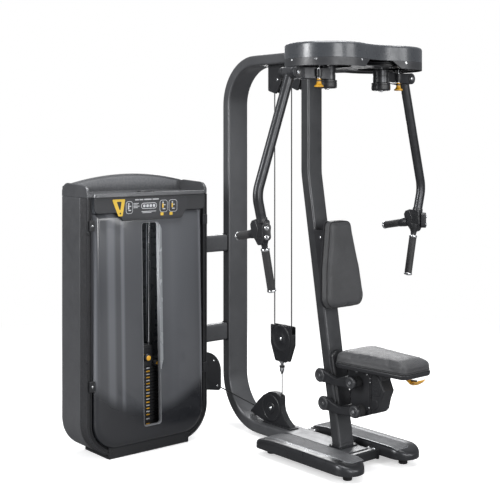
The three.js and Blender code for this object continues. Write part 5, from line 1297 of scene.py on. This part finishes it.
# seam bead between the two halves
f = Form().loop_rings([[(x, y, z) for x, y in shroud_plan(d)] for d, z in ((1.2, 1941.2), (1.2, 1943.0), (4.6, 1943.0), (4.6, 1941.2))])
sb = make("shroud_seam", f, DARK, FR, angle=50)
carve(sb, Form().prism(rect(-69.5, 69.5, 1930, 1990, 1), "y", 20, 90))
# the floor of the skirt with the two round openings
f = Form().prism(shroud_plan(4.8), "z", 1913, 1917)
fl = make("shroud_floor", f, PLASTIC, FR, angle=40)
for s in (-1, 1):
    carve(fl, Form().turned((s * 185, -303, 1900), (s * 185, -303, 2000), [(0, 118), (40, 118)], 96))
carve(fl, Form().prism(rect(-69.5, 69.5, -60, 90, 3), "z", 1900, 1930))
carve(fl, Form().prism([(-116, 1900), (-90, 1925), (95, 1925), (120, 1900)], "y", -520, -452))
finish_mesh(fl, bevel=0.8, angle=40)
for i, (lx, deg, z) in enumerate(((-186, -148.2, 1933.5), (-186, -80.4, 1933.5), (186, -100.7, 1933.5), (-186, 172, 1933.5), (186, -20, 1933.5), (186, 40, 1933.5), (-186, 110, 1933.5))):
    a = math.radians(deg)
    bolt("shroud_screw_%d" % i, (lx + 200.1 * math.cos(a), -303 + 200.1 * math.sin(a), z), (math.cos(a), math.sin(a), 0), 4.6, FR, 2.6)

# ------------------------------------------------------------------ soft pads
PAD_TILT = math.atan2(36, 376)
# the pad's upright plan is leaned back about its top edge, as the CAD pad is
_a = V(0, -211, 1176)
PAD_M = Matrix.Translation(_a) @ Matrix.Rotation(-PAD_TILT, 4, "X") @ Matrix.Translation(-_a)


def pad_face(d, k=10):
    return rounded([(-75 + d, 1176 - d, max(4, 32 - d * 0.6)), (75 - d, 1176 - d, max(4, 32 - d * 0.6)), (122 - d, 930, 300), (134 - d, 790 + d * 0.4, max(8, 60 - d * 0.7)), (112 - d, 744 + d, max(5, 50 - d)), (-112 + d, 744 + d, max(5, 50 - d)), (-134 + d, 790 + d * 0.4, max(8, 60 - d * 0.7)), (-122 + d, 930, 300)], -k)


def seat_plan(d, k=10):
    return rounded([(-140 + d, -285 - d, max(5, 38 - d * 0.3)), (-98 + d, -710 + d, max(5, 30 - d * 0.3)), (98 - d, -710 + d, max(5, 30 - d * 0.3)), (140 - d, -285 - d, max(5, 38 - d * 0.3))], -k)


def plump(o, voxel, cap, keep, pressure=4.0):
    """Voxel remesh, a short cloth inflation, a cap on how far any point moves, one subdivision. keep(p) says how much a rest point may follow, 0 to 1."""
    m = o.modifiers.new("remesh", "REMESH")
    m.mode, m.voxel_size = "VOXEL", voxel / 1000
    baked(o)
    bm = bmesh.new()
    bm.from_mesh(o.data)
    for _ in range(6):
        bmesh.ops.smooth_vert(bm, verts=bm.verts, factor=0.5, use_axis_x=True, use_axis_y=True, use_axis_z=True)
    bm.to_mesh(o.data)
    bm.free()
    rest = [v.co.copy() for v in o.data.vertices]
    moved = rest
    c = o.modifiers.new("cloth", "CLOTH")
    c.settings.quality = 5
    c.settings.mass = 0.3
    c.settings.use_pressure = True
    c.settings.uniform_pressure_force = pressure
    c.settings.tension_stiffness = c.settings.compression_stiffness = 15
    c.settings.bending_stiffness = 2.0
    c.settings.effector_weights.gravity = 0
    c.point_cache.frame_start, c.point_cache.frame_end = 1, 20
    sc = bpy.context.scene
    for fr in range(1, 21):
        sc.frame_set(fr)
    dg = bpy.context.evaluated_depsgraph_get()
    ev = o.evaluated_get(dg).to_mesh()
    moved = [v.co.copy() for v in ev.vertices]
    o.evaluated_get(dg).to_mesh_clear()
    o.modifiers.clear()
    sc.frame_set(1)
    for v, a, b in zip(o.data.vertices, rest, moved):
        d = b - a
        if d.length > cap / 1000:
            d *= cap / 1000 / d.length
        v.co = a + d * keep(a)
    bm = bmesh.new()
    bm.from_mesh(o.data)
    for _ in range(4):
        bmesh.ops.smooth_vert(bm, verts=bm.verts, factor=0.5, use_axis_x=True, use_axis_y=True, use_axis_z=True)
    bm.to_mesh(o.data)
    bm.free()
    s = o.modifiers.new("sub", "SUBSURF")
    s.levels = s.render_levels = 1
    baked(o)
    o.data.shade_smooth()
    return o


def soft(name, form, matrix=None):
    o = make(name, form, LEATHER, None, matrix=matrix, angle=180)
    return o


def piping(name, path, target, radius, material, body, lift=0.0, replaces_=()):
    """A welt that follows the pad's final surface round a closed path of row-frame points."""
    tree = target
    pts = []
    for p in path:
        ok, loc, nor, _ = tree.closest_point_on_mesh(p)
        pts.append((loc + nor * (lift / 1000), nor.copy()))
    n = len(pts)
    # even out the run so that the welt is smooth
    co = [p for p, _ in pts]
    for _ in range(6):
        co = [(co[i - 1] + co[i] * 2 + co[(i + 1) % n]) / 4 for i in range(n)]
    me = bpy.data.meshes.new(name)
    vs, fs, m = [], [], 12
    for i in range(n):
        t = (co[(i + 1) % n] - co[i - 1]).normalized()
        a = pts[i][1]
        a = (a - t * a.dot(t)).normalized()
        b = t.cross(a)
        for j in range(m):
            q = 2 * math.pi * j / m
            vs.append(co[i] + (a * math.cos(q) + b * math.sin(q)) * (radius / 1000))
    for i in range(n):
        for j in range(m):
            k, l = (i + 1) % n, (j + 1) % m
            fs.append((i * m + j, i * m + l, k * m + l, k * m + j))
    me.from_pydata(vs, [], fs)
    bm = bmesh.new()
    bm.from_mesh(me)
    bmesh.ops.recalc_face_normals(bm, faces=bm.faces)
    bm.to_mesh(me)
    bm.free()
    o = bpy.data.objects.new(name, me)
    bpy.context.scene.collection.objects.link(o)
    me.materials.append(material)
    me.shade_smooth()
    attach(o, body)
    return o


def dense_loop(pts, gap=6.0):
    out = []
    for a, b in zip(pts, pts[1:] + pts[:1]):
        L = math.hypot(b[0] - a[0], b[1] - a[1])
        k = max(1, round(L / gap))
        out += [(a[0] + (b[0] - a[0]) * j / k, a[1] + (b[1] - a[1]) * j / k) for j in range(k)]
    return out


# back pad: cushion on a moulded backing board
def face_ring(d, y):
    return [(x, y, z) for x, z in pad_face(d)]


f = Form().rings([face_ring(d, y) for d, y in ((4, -169), (2.5, -172), (2, -178), (2, -190), (3.5, -198), (7, -203), (14, -205.5), (26, -207), (44, -208), (60, -208.5))])
bp = soft("back_pad_cushion", f, PAD_M)
inv = PAD_M.inverted()
ybk = V(0, -172, 0)[1]


def keep_back(p):
    # the back face stays flat on its board
    y = (inv @ p)[1]
    return max(0.0, min(1.0, (ybk - y) / 0.012))


plump(bp, 4.5, 7, keep_back)
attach(bp, FR)
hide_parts("back_pad")
path = [PAD_M @ V(x, -205, z) for x, z in dense_loop(pad_face(5.5))]
piping("back_pad_front_piping", path, bp, 2.3, RUBBER, FR, lift=0.3)
path = [PAD_M @ V(x, -172, z) for x, z in dense_loop(pad_face(1.5))]
piping("back_pad_rear_piping", path, bp, 2.0, RUBBER, FR)
f = Form().rings([face_ring(d, y) for d, y in ((16, -156), (8, -156.6), (5, -158), (4, -161), (3.4, -165), (3.6, -169.4))])
bb = make("back_pad_board", f, PLASTIC, FR, matrix=PAD_M, angle=40)


def pad_back(z):
    return -156 - ((1176 - z) * 36) / 376


def column_front(z):
    k = 0 if z >= 1400 else 0.17
    return column_y(z) - 29 * math.hypot(1, k)


br = rounded([(pad_back(1120) + 1.4, 1120, 4), (column_front(1120) - 0.6, 1120, 0), (column_front(800) - 0.6, 800, 0), (pad_back(800) + 1.4, 800, 4)], 8)
for s in (-1, 1):
    make("pad_bracket_side_" + "rl"[s > 0], Form().prism(br, "x", s * 58, s * 52), DARK, FR, replaces=("back_pad_bracket",), bevel=1.4)
f = Form().prism(rounded([(pad_back(1114) + 1.6, 1114, 3), (pad_back(1114) + 7, 1114, 3), (pad_back(806) + 7, 806, 3), (pad_back(806) + 1.6, 806, 3)], 8), "x", -57, 57)
make("pad_bracket_face", f, DARK, FR, bevel=1.2)
f = Form().prism(rounded([(column_front(1114) - 6, 1114, 2), (column_front(1114) - 0.8, 1114, 2), (column_front(806) - 0.8, 806, 2), (column_front(806) - 6, 806, 2)], 8), "x", -57, 57)
make("pad_bracket_foot", f, DARK, FR, bevel=1.2)
for s in (-1, 1):
    for i, z in enumerate((1085, 960, 835)):
        y = (pad_back(z) + column_front(z)) / 2
        bolt("pad_bracket_bolt_%s%d" % ("rl"[s > 0], i), (s * 58, y, z), (s, 0, 0), 6.5, FR, 4)

# seat pad: crowned cushion, seam welt low on the side, moulded pan below
SEAT = "seat"


def seat_ring(d, z):
    return [(x, y, z) for x, y in seat_plan(d)]


f = Form().rings([seat_ring(d, z) for d, z in ((6, 506), (3.4, 508.4), (3, 513), (3, 532), (4.6, 541), (9, 547.6), (18, 552), (34, 555.6), (52, 558.2), (74, 560))])
sp = soft("seat_pad_cushion", f)
zb = V(0, 0, 509)[2]
plump(sp, 4.5, 9, lambda p: max(0.0, min(1.0, (p[2] - zb) / 0.012)))
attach(sp, SEAT)
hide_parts("seat_pad")
piping("seat_pad_piping", [V(x, y, 517) for x, y in dense_loop(seat_plan(2))], sp, 1.9, RUBBER, SEAT, lift=-0.4)
f = Form().rings([seat_ring(d, z) for d, z in ((14, 486.5), (8, 487), (5.4, 489), (4.2, 493), (2.4, 501), (2.2, 505.6), (3.2, 507.2))])
make("seat_pan", f, PLASTIC, SEAT, angle=40)

# ------------------------------------------------------------------ seat carriage, links and lever
side_plate = rounded([(-297, 489, 6), (-300, 420, 20), (-318, 352, 12), (-322, 262, 14), (-352, 240, 10), (-404, 258, 12), (-446, 276, 10), (-452, 440, 10), (-452, 489, 6)], 6)
W = 44
make("carriage_body", Form().prism(side_plate, "x", -W, W), DARK, SEAT, replaces=("seat_carriage",), bevel=3.0, segments=4)
for s in (-1, 1):
    side = "rl"[s > 0]
    cover = rounded([(-310, 470, 6), (-322, 372, 14), (-336, 300, 12), (-352, 262, 10), (-430, 288, 10), (-446, 332, 10), (-446, 470, 6)], 6)
    make("carriage_cover_" + side, Form().prism(cover, "x", s * (W - 1), s * (W + 4.5)), PLASTIC, SEAT, bevel=2.2, segments=4)
    for i, (y, z, r) in enumerate(((-364, 466, 5.6), (-430, 462, 4), (-350, 278, 4), (-440, 306, 4.4), (-446, 446, 3.6), (-446, 428, 3.6))):
        xx = s * (W + 4.5) if i in (0, 1, 2) else s * 44.2
        if i >= 3:
            xx = s * 44.0
        bolt("carriage_bolt_%s%d" % (side, i), (xx, y, z), (s, 0, 0), r, SEAT, 3.6)
# stepped gearbox cover at the front: stacked, offset mouldings
front = rounded([(-440, 486, 6), (-512, 484, 6), (-506, 440, 8), (-528, 394, 12), (-510, 352, 10), (-504, 328, 10), (-498, 304, 8), (-480, 286, 12), (-450, 276, 8), (-440, 300, 6)], 6)
make("gear_cover", Form().prism(front, "x", -36, 36), PLASTIC, SEAT, bevel=6.0, segments=5)
for i, (y0, z0, z1) in enumerate(((-553, 446, 458), (-571, 412, 424), (-574, 384, 396), (-562, 350, 362), (-559, 318, 330))):
    pass
f = Form().prism(rounded([(-448, 470, 6), (-494, 462, 8), (-514, 406, 12), (-498, 366, 10), (-448, 366, 8)], 6), "x", -39, 39)
make("gear_cover_panel", f, DARK, SEAT, bevel=3.0, segments=4)
f = Form().prism(rounded([(-446, 352, 6), (-486, 346, 8), (-490, 318, 8), (-472, 298, 10), (-446, 294, 8)], 6), "x", -39, 39)
make("gear_cover_lower", f, DARK, SEAT, bevel=3.0, segments=4)
for j in range(4):
    z = 380 + j * 18
    yy = -500
    f = Form().prism(rounded([(-460, z, 2), (-496 - (4 if j == 1 else 0), z - 3, 2), (-496 - (4 if j == 1 else 0), z + 3, 2), (-460, z + 6, 2)], 10), "x", -40.4, 40.4)
    make("gear_cover_rib_%d" % j, f, PLASTIC, SEAT, bevel=1.2)
make("gas_spring_body", Form().turned((0, -320, 262), (0, -190, 200), [(0, 9), (2, 11), (96, 11), (98, 9), (98.1, 5), (118, 5)], 40) if False else Form().turned((-20, -448, 300), (20, -448, 300), [(0, 16), (1.5, 18), (38.5, 18), (40, 16)], 48), DARK, SEAT)
PIV = ((-167, 420), (-190, 288))
for nm, (y, z) in (("upper", (-374, 420)), ("lower", (-397, 288))):
    for s in (-1, 1):
        side = "rl"[s > 0]
        f = Form().turned((s * 40, y, z), (s * 200, y, z), [(0, 24), (8, 24), (10, 27), (36, 27), (38.6, 25), (39.2, 18)], 64)
        make("front_pivot_%s_barrel_%s" % (nm, side), f, RUBBER, SEAT, angle=35)
    make("front_pivot_%s_pin" % nm, Form().turned((-109, y, z), (0, y, z), [(0, 7), (1, 8), (217, 8), (218, 7)], 40), SILVER, SEAT)
for nm, (ry, rz), zoff in (("upper", PIV[0], 0), ("lower", PIV[1], 0)):
    fy, fz = ry - 207, rz
    BODY = nm + "_seat_link"
    top = [(ry - 207 * t, rz + h) for t, h in ((0.20, 25), (0.34, 11), (0.46, 3), (0.58, 1), (0.72, 8), (0.84, 19))]
    bot = [(ry - 207 * t, rz + h) for t, h in ((0.84, -24), (0.72, -27), (0.58, -33), (0.46, -33), (0.34, -28), (0.20, -26))]
    outline = arc(ry, rz, 36, -70, 92, 26)
    outline += top
    outline += arc(fy, fz, 31, 88, 262, 28)
    outline += bot
    # smooth the neck points
    for _ in range(2):
        q = outline[:]
        for i in range(len(q)):
            a, b, c = q[i - 1], q[i], q[(i + 1) % len(q)]
            outline[i] = ((a[0] + 2 * b[0] + c[0]) / 4, (a[1] + 2 * b[1] + c[1]) / 4)
    for s in (-1, 1):
        side = "rl"[s > 0]
        rep = (BODY,) if s < 0 else ()
        o = make("%s_link_plate_%s" % (nm, side), Form().prism(outline, "x", s * 82, s * 104), PLASTIC, BODY, replaces=rep, bevel=6.0, segments=6)
        for (cy2, cz2, r, big) in ((ry, rz, 31, 1), (fy, fz, 27, 0)):
            f = Form().turned((s * 98, cy2, cz2), (s * 200, cy2, cz2), [(0, r + 2), (5, r + 2), (7.6, r + 0.6), (9.2, r - 2.4), (9.4, r - 7), (8.4, r - 8.6), (8.0, 10), (9, 9), (9.8, 7.4), (10, 4)], 72)
            make("%s_link_cap_%s_%d" % (nm, side, big), f, PLASTIC_GREY_LOW, BODY, angle=32)
            bolt("%s_link_bolt_%s_%d" % (nm, side, big), (s * 106.2, cy2, cz2), (s, 0, 0), 4.6, BODY, 3)
            f = Form().hoop((s * 79.8, cy2, cz2), (s * 200, cy2, cz2), [(0, 9), (0, 22), (3, 22), (3, 9)], 48)
            make("%s_link_washer_%s_%d" % (nm, side, big), f, SILVER, BODY)
    f = Form().turned((-83, ry - 97, rz - 12), (0, ry - 97, rz - 12), [(0, 12), (166, 12)], 48)
    make(nm + "_link_cross_bar", f, DARK, BODY)

LV = "seat_lever"
f = Form().turned((-30, -526, 462), (0, -526, 462), [(0, 6), (1, 7), (125, 7), (126, 6)], 40)
make("lever_axle", f, DARK, LV, replaces=("seat_lever",))
st = path_of([(84, -526, 462), (84, -575, 440, 18), (84, -622, 446)], 5)
make("lever_rod", Form().sweep(even(st, 12), circle(0, 0, 4.2, 24), (1, 0, 0)), DARK, LV, angle=60)
# the paddle: a thin scooped blade with a rolled front lip
rings = []
for j in range(25):
    t = j / 24
    y = -582 - 70 * t
    sag = -14 * math.sin(math.pi * t) + (13 * t * t)
    half = 27 + 3 * math.sin(math.pi * t) - 5 * (1 - t) ** 3
    th = 6.5 - 1.5 * t + 1.2 * max(0, t - 0.9) * 10
    ring = []
    m = 16
    top, bot = [], []
    for k in range(m + 1):
        a = -1 + 2 * k / m
        x = 85 + half * a
        dip = -3.2 * (1 - a * a)
        edge = math.sqrt(max(0.0, 1 - abs(a) ** 6))
        top.append((x, y, 442 + sag + dip + th * 0.5 * edge))
        bot.append((x, y, 442 + sag + dip - th * 0.5 * edge - 0.05))
    rings.append(top + bot[::-1])
make("lever_paddle", Form().rings(rings), ORANGE, LV, angle=50)
make("lever_paddle_boss", Form().prism(rounded([(-566, 452, 4), (-566, 436, 4), (-596, 430, 5), (-596, 440, 4)], 8), "x", 74, 94), ORANGE, LV, bevel=1.6)

# ------------------------------------------------------------------ camera, floor, light
sc = bpy.context.scene
cam_data = bpy.data.cameras.new("camera")
cam_data.lens = 73.88
cam_data.sensor_width = 36
cam_data.sensor_fit = "HORIZONTAL"
cam_data.clip_end = 60
cam = bpy.data.objects.new("camera", cam_data)
sc.collection.objects.link(cam)
sc.camera = cam
home = V(-3560, -3786, 1563)
cam.location = home
cam.rotation_euler = (math.radians(90), 0, -math.atan2(0.640, 0.768))
# a level camera whose frame is shifted down, as the photograph's was; the shift holds only at the photograph's own place
d = cam_data.driver_add("shift_y").driver
d.type = "SCRIPTED"
for i, nm in enumerate("xyz"):
    v = d.variables.new()
    v.name = nm
    v.type = "SINGLE_PROP"
    v.targets[0].id = cam
    v.targets[0].data_path = "location[%d]" % i
d.expression = "-0.21916 if (x-(%.5f))*(x-(%.5f))+(y-(%.5f))*(y-(%.5f))+(z-(%.5f))*(z-(%.5f)) < 0.0004 else 0.0" % (home.x, home.x, home.y, home.y, home.z, home.z)

fm = bpy.data.meshes.new("floor")
R = 40
fm.from_pydata([(-R, -R, 0), (R, -R, 0), (R, R, 0), (-R, R, 0)], [], [(0, 1, 2, 3)])
floor = bpy.data.objects.new("floor", fm)
sc.collection.objects.link(floor)
m, nt, bsdf = _new("floor_white")
bsdf.inputs["Base Color"].default_value = (0.86, 0.86, 0.86, 1)
bsdf.inputs["Roughness"].default_value = 0.55
bsdf.inputs["Specular IOR Level"].default_value = 0.25
bsdf.inputs["Emission Color"].default_value = (1, 1, 1, 1)
# the sheet under the machine fades into the white of the room with distance, and lights nothing itself
lpf = nt.nodes.new("ShaderNodeLightPath")
tcf = nt.nodes.new("ShaderNodeTexCoord")
ln = nt.nodes.new("ShaderNodeVectorMath")
ln.operation = "LENGTH"
nt.links.new(tcf.outputs["Object"], ln.inputs[0])
far = _map(nt, ln.outputs["Value"], 1.6, 4.2, 0, 1, True)
em = nt.nodes.new("ShaderNodeEmission")
em.inputs[0].default_value = (1, 1, 1, 1)
em.inputs[1].default_value = 1.0
ms = nt.nodes.new("ShaderNodeMixShader")
nt.links.new(_math(nt, "MULTIPLY", far, lpf.outputs["Is Camera Ray"]), ms.inputs[0])
nt.links.new(bsdf.outputs[0], ms.inputs[1])
nt.links.new(em.outputs[0], ms.inputs[2])
nt.links.new(ms.outputs[0], next(q for q in nt.nodes if q.type == "OUTPUT_MATERIAL").inputs[0])
bsdf.inputs["Emission Strength"].default_value = 0.0
nt.links.new(_math(nt, "MULTIPLY", lpf.outputs["Is Camera Ray"], 0.46), bsdf.inputs["Emission Strength"])
nt.links.new(_mix(nt, lpf.outputs["Is Camera Ray"], (0.22, 0.22, 0.225), (0.86, 0.86, 0.86)), bsdf.inputs["Base Color"])
fm.materials.append(m)

w = bpy.data.worlds.new("studio")
sc.world = w
w.use_nodes = True
nt = w.node_tree
nt.nodes.clear()
out = nt.nodes.new("ShaderNodeOutputWorld")
mix = nt.nodes.new("ShaderNodeMixShader")
b1 = nt.nodes.new("ShaderNodeBackground")
b2 = nt.nodes.new("ShaderNodeBackground")
lp = nt.nodes.new("ShaderNodeLightPath")
b1.inputs[0].default_value = (0.93, 0.95, 1.0, 1)
b1.inputs[1].default_value = 0.30
b2.inputs[0].default_value = (1, 1, 1, 1)
b2.inputs[1].default_value = 1.0
nt.links.new(lp.outputs["Is Camera Ray"], mix.inputs[0])
nt.links.new(b1.outputs[0], mix.inputs[1])
nt.links.new(b2.outputs[0], mix.inputs[2])
nt.links.new(mix.outputs[0], out.inputs[0])


def area(name, loc, target, size, size_y, power, color=(1, 1, 1)):
    L = bpy.data.lights.new(name, "AREA")
    L.shape = "RECTANGLE"
    L.size, L.size_y = size, size_y
    L.energy = power
    L.color = color
    o = bpy.data.objects.new(name, L)
    sc.collection.objects.link(o)
    o.location = loc
    o.rotation_euler = (Vector(target) - Vector(loc)).to_track_quat("-Z", "Y").to_euler()
    return o


area("key_top", (0.2, -0.5, 4.6), (0, 0, 0.8), 3.2, 2.4, 180)
area("side_left", (-4.6, 0.4, 2.5), (-0.4, 0.2, 1.2), 1.2, 2.6, 190)
area("front_left", (-1.1, -4.8, 1.9), (0, 0, 1.0), 1.6, 2.4, 100)
inner = area("tower_inside", V(-800, 585, 960), V(-560, 735, 960), 0.05, 0.46, 3.0)
inner.visible_camera = inner.visible_glossy = False
area("front_right", (1.6, -4.6, 2.2), (0, 0, 1.0), 1.8, 2.6, 75)
area("rim_back", (3.2, 3.2, 2.6), (0, 0, 1.1), 2.0, 2.4, 90)
sc.view_settings.view_transform = "Standard"
sc.view_settings.look = "None"
sc.view_settings.exposure = 0
sc.view_settings.gamma = 1
